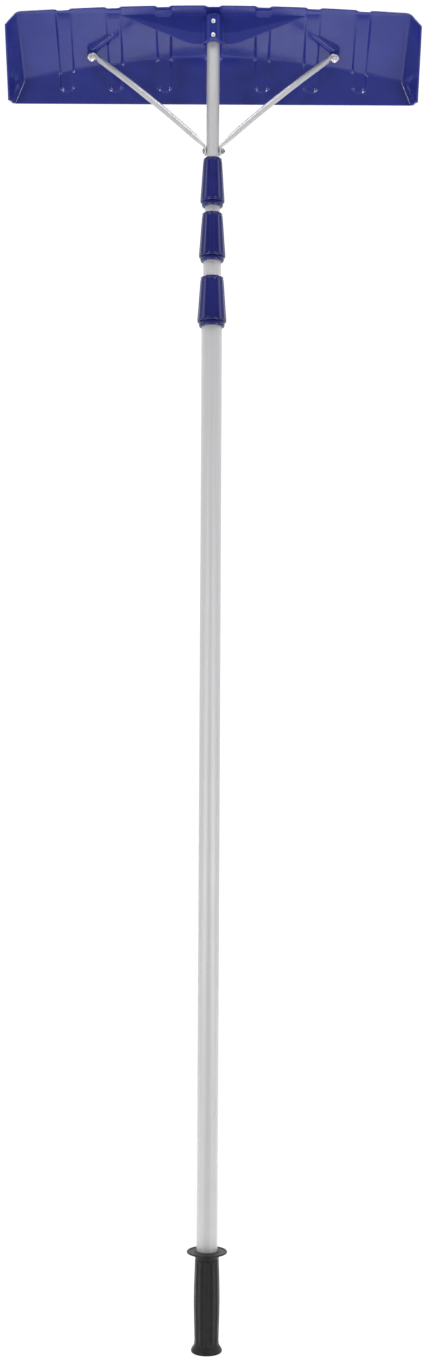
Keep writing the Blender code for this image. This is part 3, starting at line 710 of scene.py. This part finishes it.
def skin_rows():
    """Smooth inner face of the right half, row by row, with the rib heights of its two faces."""
    ends = section_line(FOLD_X)[0]
    steps = [(after - before).length for before, after in zip(ends, ends[1:])]
    total = sum(steps)
    bend_at = sum(steps[:BEND_START + BEND_ROWS // 2])
    rows, inner_ribs, outer_ribs = [], [], []
    for row in range(ROWS):
        line, front, back = [], [], []
        for across in columns(row):
            points, centre, down = section_line(across)
            point = points[row]
            line.append(Vector((across, point.y, point.z)))
            front.append(rib_height(across, row, point, centre, down))
            back.append(rib_height(across, row, point, centre, down, RIB_BACK_INSET))
        part = sum(steps[:row]) / total
        free = blend(Vector((WING_X, *WING_TOP)), Vector((WING_X, *WING_FOOT)), part)
        below = sum(steps[:row]) - bend_at
        corner = Vector((FOLD_X, ends[row].y, ends[row].z))
        shift = (CORNER_X - FOLD_X) / (total - bend_at)
        corner.x += shift * ramp(below, FOLD_SOFT)
        calmer = shift * (ramp(below, WING_SOFT) - ramp(below, FOLD_SOFT))
        crisp = ease((below + FOLD_SOFT) / (1.5 * FOLD_SOFT))
        bend = fold_path(corner, line[-1], free, crisp)
        start = line[-1]
        line += [blend(start, bend[0], i / TAIL_COLUMNS) for i in range(1, TAIL_COLUMNS)]
        line += bend
        for i in range(1, WING_COLUMNS + 1):
            t = i / WING_COLUMNS
            point = blend(bend[-1], free, t)
            point.x += calmer * ease(2.5 * t) * (1 - t)
            line.append(point)
        pad = [0.0] * (len(line) - len(front))
        rows.append(line)
        inner_ribs.append(front + pad)
        outer_ribs.append(back + pad)
    return rows, inner_ribs, outer_ribs


def mirrored(rows, flip=lambda value: value):
    """Full-width rows from right-half rows."""
    return [[flip(value) for value in reversed(row[1:])] + row for row in rows]


def grid_normals(rows):
    """Unit normals of a grid of points, towards the scoop's mouth."""
    made = []
    last_row, last_column = len(rows) - 1, len(rows[0]) - 1
    for i, row in enumerate(rows):
        line = []
        for j in range(len(row)):
            down = rows[min(i + 1, last_row)][j] - rows[max(i - 1, 0)][j]
            across = row[min(j + 1, last_column)] - row[max(j - 1, 0)]
            line.append(down.cross(across).normalized())
        made.append(line)
    return made


def pushed(rows, normals, heights):
    """A grid of points moved along its normals."""
    return [[point + normal * height for point, normal, height in zip(*line)]
            for line in zip(rows, normals, heights)]


def border(rows_count, columns_count):
    """Grid places round the border in order, each with its neighbour one step in."""
    low, far = rows_count - 1, columns_count - 1
    places = [((0, j), (1, j)) for j in range(columns_count)]
    places += [((i, far), (i, far - 1)) for i in range(1, rows_count)]
    places += [((low, j), (low - 1, j)) for j in range(far - 1, -1, -1)]
    places += [((i, 0), (i, 1)) for i in range(low - 1, 0, -1)]
    return places


EDGE_SHARES = (0.12, 0.3, 0.5, 0.7, 0.88)


def make_skin():
    """The scoop's skin: two ribbed faces joined by a rounded edge."""
    half, front, back = skin_rows()
    base = mirrored(half, lambda p: Vector((-p.x, p.y, p.z)))
    normals = grid_normals(base)
    rows_count, columns_count = len(base), len(base[0])
    inner = pushed(base, normals, mirrored(front))
    sunk = [[height - SKIN for height in row] for row in mirrored(back)]
    outer = pushed(base, normals, sunk)
    loops = border(rows_count, columns_count)
    outward = [(inner[i][j] - inner[m][n]).normalized() for (i, j), (m, n) in loops]
    corners = {}
    for ((i, j), _), push in zip(loops, outward):
        corners[(i, j)] = (inner[i][j].copy(), outer[i][j].copy())
        inner[i][j] -= push * EDGE_ROUND
        outer[i][j] -= push * EDGE_ROUND
    points = [p for row in inner for p in row] + [p for row in outer for p in row]
    faces = []
    size = rows_count * columns_count
    for i in range(rows_count - 1):
        for j in range(columns_count - 1):
            a = i * columns_count + j
            quad = (a, a + columns_count, a + columns_count + 1, a + 1)
            faces.append(quad)
            faces.append(tuple(size + k for k in reversed(quad)))
    strips = []
    for ((i, j), _), push in zip(loops, outward):
        near, far = corners[(i, j)]
        strip = [i * columns_count + j]
        for share in EDGE_SHARES:
            bulge = EDGE_ROUND * (math.sin(math.pi * share) ** 0.7 - 1)
            strip.append(len(points))
            points.append(blend(near, far, share) + push * bulge)
        strip.append(size + i * columns_count + j)
        strips.append(strip)
    for here, there in zip(strips, strips[1:] + strips[:1]):
        for k in range(len(here) - 1):
            faces.append((here[k], there[k], there[k + 1], here[k + 1]))
    present("scoop_skin", mesh_from(points, faces), "scoop_blue", "section_4", "scoop", angle=50)


# ---------------- socket, web and bosses

WEB_EASE = 0.06
WEB_BEND = 0.8 * MM
WEB_COLUMNS = 40
FILLET_STEPS = 10


def web_drop(across):
    """How far the web has come down at a distance across, from 0 at its tip to 1 at its foot."""
    share = (WEB_HALF - across) / (WEB_HALF - WEB_FOOT_HALF)
    if share > 1 + WEB_EASE:
        return 1.0
    if share < 1 - WEB_EASE:
        return share
    t = (share - (1 - WEB_EASE)) / (2 * WEB_EASE)
    return blend(1 - WEB_EASE, 1.0, 2 * t - t * t)


def web_lines():
    """Rows of (depth, height) down the web, with its low zone tilted back."""
    rows = [(blend(*WEB_Y[:2], i / 8), blend(*WEB_Z[:2], i / 8)) for i in range(8)]
    rows.append((WEB_Y[1], WEB_Z[1] + WEB_BEND))
    rows.append((WEB_Y[1] + 0.04 * MM, WEB_Z[1]))
    rows.append((blend(*WEB_Y[1:], 0.06), WEB_Z[1] - WEB_BEND))
    rows += [(blend(*WEB_Y[1:], t), blend(*WEB_Z[1:], t)) for t in (0.2, 0.4, 0.6, 0.8, 1.0)]
    return rows


def socket_fillet(depth, height):
    """Points (across, depth) of the web's fillet, from inside the socket to the web's face."""
    size = max(WEB_FILLET * ease((SOCKET_TOP - 1 * MM - height) / (8 * MM)), 0.3 * MM)
    centre_y = depth - size
    centre_x = math.sqrt((SOCKET_RADIUS + size) ** 2 - centre_y ** 2)
    start = math.pi + math.atan2(centre_y, centre_x)
    points = []
    for i in range(FILLET_STEPS + 1):
        angle = blend(start, math.pi / 2, i / FILLET_STEPS)
        points.append((centre_x + size * math.cos(angle), centre_y + size * math.sin(angle)))
    inside = (points[0][0] * 0.9, points[0][1] * 0.9)
    return [inside] + points


def make_web():
    """Triangular web between the crease and the socket, filleted into the socket's sides."""
    for side, word in SIDES:
        front_rows, back_rows = [], []
        for depth, height in web_lines():
            front, back = [], []
            fillet = socket_fillet(depth, height)
            foot = fillet[-1][0]
            for across, y in fillet:
                front.append(Vector((side * across, y, height)))
                back.append(Vector((side * across, depth + WEB_THICK, height)))
            for i in range(1, WEB_COLUMNS + 1):
                across = blend(foot, WEB_HALF, i / WEB_COLUMNS)
                drop = 0.03 + 0.97 * web_drop(across)
                y = blend(WEB_Y[0], depth, drop)
                z = blend(WEB_Z[0], height, drop)
                front.append(Vector((side * across, y, z)))
                back.append(Vector((side * across, y + WEB_THICK, z)))
            front_rows.append(front)
            back_rows.append(back)
        low_front, low_back = front_rows[-1], back_rows[-1]
        lip = []
        for share in (0.15, 0.35, 0.5, 0.65, 0.85):
            drop = 0.9 * MM * math.sin(math.pi * share)
            lip.append([blend(a, b, share) - Vector((0, 0, drop))
                        for a, b in zip(low_front, low_back)])
        rings = front_rows + lip + back_rows[::-1]
        mesh = loft([list(ring) for ring in zip(*rings)])
        present(f"scoop_web_{word}", mesh, "scoop_blue", "section_4", "scoop")


def make_socket():
    """Socket with a thicker collar at its mouth."""
    bore = TUBES[3][0] / 2 + GAP
    corners = [
        (0, SOCKET_TOP - 2.5 * MM),
        (bore, SOCKET_TOP - 2.5 * MM),
        (bore, SOCKET_MOUTH + 0.7 * MM),
        (bore + 0.6 * MM, SOCKET_MOUTH),
        (COLLAR_RADIUS - 0.8 * MM, SOCKET_MOUTH),
        (COLLAR_RADIUS, SOCKET_MOUTH + 1.0 * MM),
        (COLLAR_RADIUS - 0.2 * MM, SOCKET_MOUTH + 2.4 * MM),
        (SOCKET_RADIUS, SOCKET_MOUTH + COLLAR_HEIGHT + 1.5 * MM),
        (SOCKET_RADIUS, SOCKET_TOP - 1 * MM),
        (SOCKET_RADIUS - 2.5 * MM, SOCKET_TOP),
        (0, SOCKET_TOP),
    ]
    profile = round_corners(flat_profile(corners), 0.9 * MM, 4)
    present("scoop_socket", lathe(profile, 96), "scoop_blue", "section_4", "scoop")


def wall_height(across, depth):
    """Height of the scoop wall's inner face over a point."""
    crease, junction = scoop_corners(across)[1:3]
    part = (depth - crease.y) / (junction.y - crease.y)
    return blend(crease.z, junction.z, part)


def tab_frame(side):
    """A brace's upper bolt: its point in the tab and its direction into the leaning wall."""
    point = Vector((side * BOLT_X, BOLT_Y, TAB_Z))
    return point, Vector((0, math.sin(BOSS_TILT), math.cos(BOSS_TILT)))


def make_boss(side, word):
    """Round boss through the wall for a brace bolt."""
    point, axis = tab_frame(side)
    height = BOSS_PAD - BOSS_SEAT
    hole = BOLT_RADIUS + 0.2 * MM
    corners = flat_profile([(hole, 0), (BOSS_RADIUS - 0.3 * MM, 0), (BOSS_RADIUS, height),
                            (hole, height)])
    profile = round_corners(corners, 1.6 * MM, 5, loop=True)
    mesh = laid(lathe(profile, 64, True), point + axis * BOSS_SEAT, axis)
    present(f"scoop_boss_{word}", mesh, "scoop_blue", "section_4", "scoop")


def make_ridge(side, word):
    """Rounded ridge that stiffens a boss, running up the wall to the next rib."""
    point, axis = tab_frame(side)
    root = point + axis * RIDGE_RISE
    far = Vector((side * RIDGE[0], RIDGE[1], RIDGE[2]))
    steps, sides = 30, 28
    rings = []
    for i in range(steps + 1):
        t = i / steps
        middle = blend(root, far, t)
        flat = Vector((far.x - root.x, far.y - root.y, 0)).normalized()
        across = Vector((-flat.y, flat.x, 0))
        tip = max((t - 0.72) / 0.28, 0.0)
        shrink = math.sqrt(max(1 - tip ** 2.6, 0.0004))
        half = blend(*RIDGE_HALF, t) * shrink
        top = wall_height(abs(middle.x), middle.y) + RIDGE_SUNK
        low = blend(top, middle.z, shrink)
        ring = []
        for angle in angles(sides):
            c, s = math.cos(angle), math.sin(angle)
            spot = middle + across * half * math.copysign(abs(c) ** 0.75, c)
            height = wall_height(abs(spot.x), spot.y) + RIDGE_SUNK
            if s < 0:
                height = blend(height, low, abs(s) ** 0.6)
            ring.append(Vector((spot.x, spot.y, height)))
        rings.append(ring)
    present(f"scoop_ridge_{word}", loft(rings), "scoop_blue", "section_4", "scoop", angle=60)


# ---------------- braces and fixings

def oblong(centre, side_axis, thin_axis, half_width, half_thick, sides=32):
    """A ring between a circle and a flat oblong."""
    flatness = min(max((half_width / half_thick - 1) / 3, 0), 1)
    power = blend(1.0, 0.5, flatness)
    ring = []
    for angle in angles(sides):
        c, s = math.cos(angle), math.sin(angle)
        wide = math.copysign(abs(c) ** power, c) * half_width
        thin = math.copysign(abs(s) ** power, s) * half_thick
        ring.append(centre + side_axis * wide + thin_axis * thin)
    return ring


def eased_line(values, steps):
    """Values along a line through stations, eased between them."""
    made = []
    for i in range(len(values) - 1):
        before = values[max(i - 1, 0)]
        start, end = values[i], values[i + 1]
        after = values[min(i + 2, len(values) - 1)]
        for k in range(steps):
            t = k / steps
            slope_in = (end - before) * 0.5
            slope_out = (after - start) * 0.5
            made.append(start * (2 * t ** 3 - 3 * t ** 2 + 1)
                        + slope_in * (t ** 3 - 2 * t ** 2 + t)
                        + end * (3 * t ** 2 - 2 * t ** 3) + slope_out * (t ** 3 - t ** 2))
    made.append(values[-1])
    return made


def tab_point(outward):
    """A point of the right brace's upper tab, at a distance past its bolt."""
    plan = Vector((BOLT_X, BOLT_Y, 0)).normalized()
    along = Matrix.Rotation(-BOSS_TILT, 3, 'X') @ plan
    return tuple(Vector((BOLT_X, BOLT_Y, TAB_Z)) + along * outward)


BRACE_STATIONS = (
    # place, width, flatness
    (tab_point(7.0 * MM), 0.05, 1.0),
    (tab_point(6.7 * MM), 0.3, 1.0),
    (tab_point(5.6 * MM), 0.6, 1.0),
    (tab_point(3.4 * MM), 0.88, 1.0),
    (tab_point(0.0), 1.0, 1.0),
    (tab_point(-6.2 * MM), 1.0, 1.0),
    (mm(182.8, 50.5, 2014.5), 1.0, 0.45),
    (mm(171.7, 47.3, 2005.9), 1.0, 0.0),
    (mm(128.4, 35.0, 1968.3), 1.0, 0.0),
    (mm(78.1, 20.7, 1922.4), 1.0, 0.0),
    (mm(33.0, 7.6, 1878.9), 1.0, 0.0),
    (mm(20.5, 3.4, 1865.5), 1.0, 0.5),
    ((CROSS_TAB_X + 0.4 * MM, 0.3 * MM, CROSS_Z + 7.0 * MM), 1.0, 1.0),
    ((CROSS_TAB_X, 0.0, CROSS_Z), 1.0, 1.0),
    ((CROSS_TAB_X, 0.0, CROSS_Z - 4.0 * MM), 0.82, 1.0),
    ((CROSS_TAB_X, 0.0, CROSS_Z - 6.4 * MM), 0.5, 1.0),
    ((CROSS_TAB_X, 0.0, CROSS_Z - 7.4 * MM), 0.05, 1.0),
)
UPPER_TAB, LOWER_TAB = 5, 12


def make_brace(side, word):
    """A round tube with pressed, rounded ends."""
    steps = 5
    centres = eased_line([Vector((side * x, y, z)) for (x, y, z), _, _ in BRACE_STATIONS], steps)
    widths = eased_line([width for _, width, _ in BRACE_STATIONS], steps)
    flats = eased_line([flat for _, _, flat in BRACE_STATIONS], steps)
    plan = Vector((side * BOLT_X, BOLT_Y, 0)).normalized()
    lean = Matrix.Rotation(-BOSS_TILT, 3, 'X')
    upper_side = lean @ Vector((-plan.y, plan.x, 0))
    lower_side = Vector((0, side, 0))
    rings = []
    for i, centre in enumerate(centres):
        station = i / steps
        before = centres[max(i - 1, 0)]
        after = centres[min(i + 1, len(centres) - 1)]
        along = (after - before).normalized()
        if station <= UPPER_TAB:
            along = lean @ -plan
        elif station >= LOWER_TAB:
            along = Vector((0, 0, -1))
        turn = ease((station - UPPER_TAB) / (LOWER_TAB - UPPER_TAB))
        wide = blend(upper_side, lower_side, turn).normalized()
        wide = (wide - along * wide.dot(along)).normalized()
        thin = along.cross(wide).normalized()
        flat = min(max(flats[i], 0), 1)
        width = min(max(widths[i], 0.03), 1)
        half_wide = blend(BRACE_RADIUS, TAB_HALF_WIDTH, flat) * width
        half_thin = blend(BRACE_RADIUS, TAB_HALF_THICK, flat)
        rings.append(oblong(centre, wide, thin, half_wide, half_thin))
    present(f"brace_{word}_tube", loft(rings), "tube_silver", "section_4", f"brace_{word}",
            angle=50, look="brace_satin")


def threads(radius, start, end, pitch=0.8 * MM, depth=0.35 * MM):
    """Profile points of a shank with plain rings for threads, from its end back to its start."""
    points = []
    turns = int((end - start) / pitch)
    for i in range(turns):
        top = end - i * pitch
        points += [(radius - depth, top), (radius, top - 0.5 * pitch)]
    points.append((radius - depth, start))
    return points


def make_domed_bolt(name, seat, axis, length, node, look=None):
    """Domed bolt with a low washer face; rings stand for its threads."""
    head = 5 * MM
    profile = [(0, length), (BOLT_RADIUS - 0.8 * MM, length)]
    profile += threads(BOLT_RADIUS - 0.05 * MM, length - 12 * MM, length - 0.3 * MM)
    profile += [(BOLT_RADIUS - 0.1 * MM, length - 12.4 * MM), (BOLT_RADIUS - 0.1 * MM, 0)]
    dome = [(head - 0.2 * MM, 0), (head, -0.3 * MM), (head, -0.8 * MM)]
    for k in range(1, 9):
        a = math.radians(90 * k / 8)
        dome.append((head * math.cos(a) * 0.97, -0.9 * MM - 2.25 * MM * math.sin(a)))
    mesh = laid(lathe(flat_profile(profile + dome), 48), seat, axis)
    present(name, mesh, "steel", "section_4", node, angle=32, look=look)


def make_nut(name, seat, axis, node, look=None):
    """Hexagon nut with a washer flange and chamfered corners; it stands on its seat."""
    flat = NUT_FLATS / 2
    flange = 5.4 * MM
    bore = BOLT_RADIUS - 0.25 * MM
    past_corners = 9 * MM  # so that only the hexagon limits these levels
    levels = [
        (0.0, flange - 0.25 * MM, False),
        (0.25 * MM, flange, False),
        (0.7 * MM, flange - 0.1 * MM, False),
        (1.25 * MM, flat + 0.35 * MM, True),
        (1.5 * MM, past_corners, True),
        (NUT_HEIGHT - 0.75 * MM, past_corners, True),
        (NUT_HEIGHT - 0.45 * MM, flat + 0.42 * MM, True),
        (NUT_HEIGHT, flat - 0.2 * MM, True),
        (NUT_HEIGHT, bore + 0.4 * MM, False),
        (NUT_HEIGHT - 0.4 * MM, bore, False),
        (0.3 * MM, bore, False),
        (0.0, bore + 0.3 * MM, False),
    ]
    rings = []
    for height, reach, hexagon in levels:
        ring = []
        for angle in angles(72):
            off = (angle + math.pi / 6) % (math.pi / 3) - math.pi / 6
            limit = flat / math.cos(off) if hexagon else reach
            radius = min(reach, limit)
            ring.append((radius * math.cos(angle), radius * math.sin(angle), height))
        rings.append(ring)
    mesh = laid(loft(rings, loop=True), seat, axis)
    present(name, mesh, "steel", "section_4", node, angle=28, look=look)


def make_socket_screw(z, word):
    """Pan-head screw with a cross recess, through the socket's front."""
    head = 3.4 * MM
    radius = 2.0 * MM
    profile = [(0, 9.5 * MM), (0.3 * MM, 9.3 * MM)]
    for k in range(9):
        top = 9.0 * MM - k * 0.95 * MM
        reach = min(radius, 0.7 * MM + 0.35 * k * MM)
        profile += [(reach, top), (reach - 0.4 * MM, top - 0.45 * MM)]
    profile += [(radius - 0.3 * MM, 0), (head - 0.15 * MM, 0), (head, -0.2 * MM),
                (head, -0.8 * MM)]
    for k in range(1, 7):
        a = math.radians(90 * k / 6)
        profile.append((0.96 * head * math.cos(a), -0.9 * MM - 1.2 * MM * math.sin(a)))
    mesh = lathe(flat_profile(profile), 64)
    made = bmesh.new()
    made.from_mesh(mesh)
    sink_cross(made)
    made.to_mesh(mesh)
    made.free()
    laid(mesh, (0, -SOCKET_RADIUS - GAP, z), (0, 1, 0))
    present(f"screw_{word}_zinc", mesh, "steel", "section_4", f"socket_screw_{word}", angle=30,
            look="screw_bright")


RECESS_HALF = 0.42 * MM
RECESS_REACH = 1.9 * MM
RECESS_DEPTH = 0.9 * MM


def sink_cross(made):
    """Press a cross recess into the top of a screw head that points to -Z."""
    tops = [face for face in made.faces if face.calc_center_median().z < -1.2 * MM]
    bmesh.ops.subdivide_edges(made, edges=list({edge for face in tops for edge in face.edges}),
                              cuts=2, use_grid_fill=True)
    for vert in made.verts:
        x, y, z = vert.co
        if z > -0.95 * MM:
            continue
        narrow = min(abs(x), abs(y))
        long = max(abs(x), abs(y))
        if narrow < RECESS_HALF and long < RECESS_REACH:
            vert.co.z += RECESS_DEPTH * (1 - 0.35 * long / RECESS_REACH)


# ---------------- stage

def make_floor():
    """Pale floor."""
    reach = FLOOR_REACH
    mesh = bpy.data.meshes.new("floor")
    mesh.from_pydata([(-reach, -reach, 0), (reach, -reach, 0), (reach, reach, 0),
                      (-reach, reach, 0)], [], [(0, 1, 2, 3)])
    floor = placed("floor", mesh)
    made, tree, shader, place = new_look("floor_white")
    depth = add_node(tree, "ShaderNodeSeparateXYZ", {"Vector": place}).outputs["Y"]
    shade = spread(tree, depth, -0.6, 0.45, 0.0, 1.0)
    tree.links.new(mixed(tree, shade, (0.42, 0.42, 0.42), (0.86, 0.86, 0.86)),
                   shader.inputs["Base Color"])
    shader.inputs["Roughness"].default_value = 0.9
    shader.inputs["Specular IOR Level"].default_value = 0.0
    white = add_node(tree, "ShaderNodeEmission", {"Color": (1, 1, 1, 1), "Strength": WHITE})
    seen = add_node(tree, "ShaderNodeLightPath").outputs["Is Camera Ray"]
    both = add_node(tree, "ShaderNodeMixShader",
                    {0: seen, 1: shader.outputs[0], 2: white.outputs[0]})
    tree.links.new(both.outputs[0], tree.nodes["Material Output"].inputs["Surface"])
    mesh.materials.append(made)


def make_camera():
    """Camera at the viewing angle: low, looking slightly up along the pole."""
    data = bpy.data.cameras.new("camera")
    camera = placed("camera", data)
    data.sensor_fit = 'VERTICAL'
    data.sensor_height = 36
    data.lens = CAMERA_LENS
    data.clip_end = 100
    pitch = Matrix.Rotation(math.pi / 2 + CAMERA_PITCH, 4, 'X')
    roll = Matrix.Rotation(CAMERA_ROLL, 4, 'Z')
    camera.matrix_world = Matrix.Translation(CAMERA_PLACE) @ pitch @ roll
    bpy.context.scene.camera = camera


def area_light(name, place, target, size, power):
    """A rectangular soft light."""
    data = bpy.data.lights.new(name, 'AREA')
    data.shape = 'RECTANGLE'
    data.size, data.size_y = size
    data.energy = power
    light = placed(name, data)
    light.location = place
    light.rotation_euler = (Vector(target) - Vector(place)).to_track_quat('-Z', 'Y').to_euler()


def make_lights():
    """Softboxes overhead, and small boxes in front that catch the ribs' ends and the corners."""
    area_light("overhead", (0, 1.5, 3.4), (0, 1.3, 0), (3.0, 2.6), 122)
    for side, word in SIDES:
        area_light(f"fill_{word}", (side * 0.9, -1.3, 4.9), (0, 0, 1.2), (1.3, 1.3), 31)
        area_light(f"front_{word}", (side * 1.35, -2.33, 1.36), (0, 0.1, 2.0), (0.5, 0.36), 10.5)
        area_light(f"low_{word}", (side * 2.0, -1.8, 0.35), (0, 0, 2.0), (0.36, 0.36), 11.5)


def make_world():
    """Bright studio behind the object, dim in front and plain white to the camera."""
    world = bpy.data.worlds.new("studio")
    bpy.context.scene.world = world
    world.use_nodes = True
    tree = world.node_tree
    backdrop = tree.nodes["Background"]
    place = add_node(tree, "ShaderNodeTexCoord").outputs["Generated"]
    parts = add_node(tree, "ShaderNodeSeparateXYZ", {"Vector": place})
    front = spread(tree, parts.outputs["Z"], 0.1, 0.28, 0.4, 0.12)
    behind = spread(tree, parts.outputs["Y"], -0.6, -0.05, 0.0, 1.0)
    level = add_node(tree, "ShaderNodeMix", {0: behind}, data_type="FLOAT")
    tree.links.new(front, level.inputs[2])
    level.inputs[3].default_value = 0.95
    seen = add_node(tree, "ShaderNodeLightPath").outputs["Is Camera Ray"]
    strength = add_node(tree, "ShaderNodeMix", {0: seen}, data_type="FLOAT")
    tree.links.new(level.outputs[0], strength.inputs[2])
    strength.inputs[3].default_value = WHITE
    backdrop.inputs["Color"].default_value = (1, 1, 1, 1)
    tree.links.new(strength.outputs[0], backdrop.inputs["Strength"])
    bpy.context.scene.view_settings.view_transform = 'Standard'


# ---------------- assembly

def main():
    """Build every piece, dress the CAD nodes that stay, light the stage."""
    make_camera()
    for index in range(4):
        make_tube(index)
    for index in range(3):
        make_collet(index)
        make_sleeve(index)
    make_grip()
    make_skin()
    make_web()
    make_socket()
    outside = CROSS_TAB_X + TAB_HALF_THICK + GAP
    for side, word in SIDES:
        make_boss(side, word)
        make_ridge(side, word)
        make_brace(side, word)
        point, axis = tab_frame(side)
        length = BOSS_PAD + GAP + BOSS_SEAT + NUT_HEIGHT + 3 * MM
        make_domed_bolt(f"brace_bolt_{word}_zinc", point + axis * (BOSS_PAD + GAP), -axis, length,
                        f"brace_bolt_{word}")
        make_nut(f"brace_nut_{word}_zinc", point - axis * BOSS_SEAT, -axis, f"brace_nut_{word}")
    # Cross bolt and nut in the darkened zinc: painted shade.
    make_domed_bolt("cross_bolt_zinc", (-outside, 0, CROSS_Z), (1, 0, 0),
                    2 * outside + NUT_HEIGHT + 2 * MM, "cross_bolt", look="cross_shaded")
    make_nut("cross_nut_zinc", (outside, 0, CROSS_Z), (1, 0, 0), "cross_nut", look="cross_shaded")
    for z, word in zip(SCREW_Z, ("lower", "upper")):
        make_socket_screw(z, word)
    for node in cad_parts.values():
        if not node.hide_render:
            node.data.materials.clear()
            node.data.materials.append(LOOKS["plug_white"])
            node.data.shade_smooth()
            node.data.set_sharp_from_angle(angle=math.radians(35))
    make_floor()
    make_lights()
    make_world()


main()
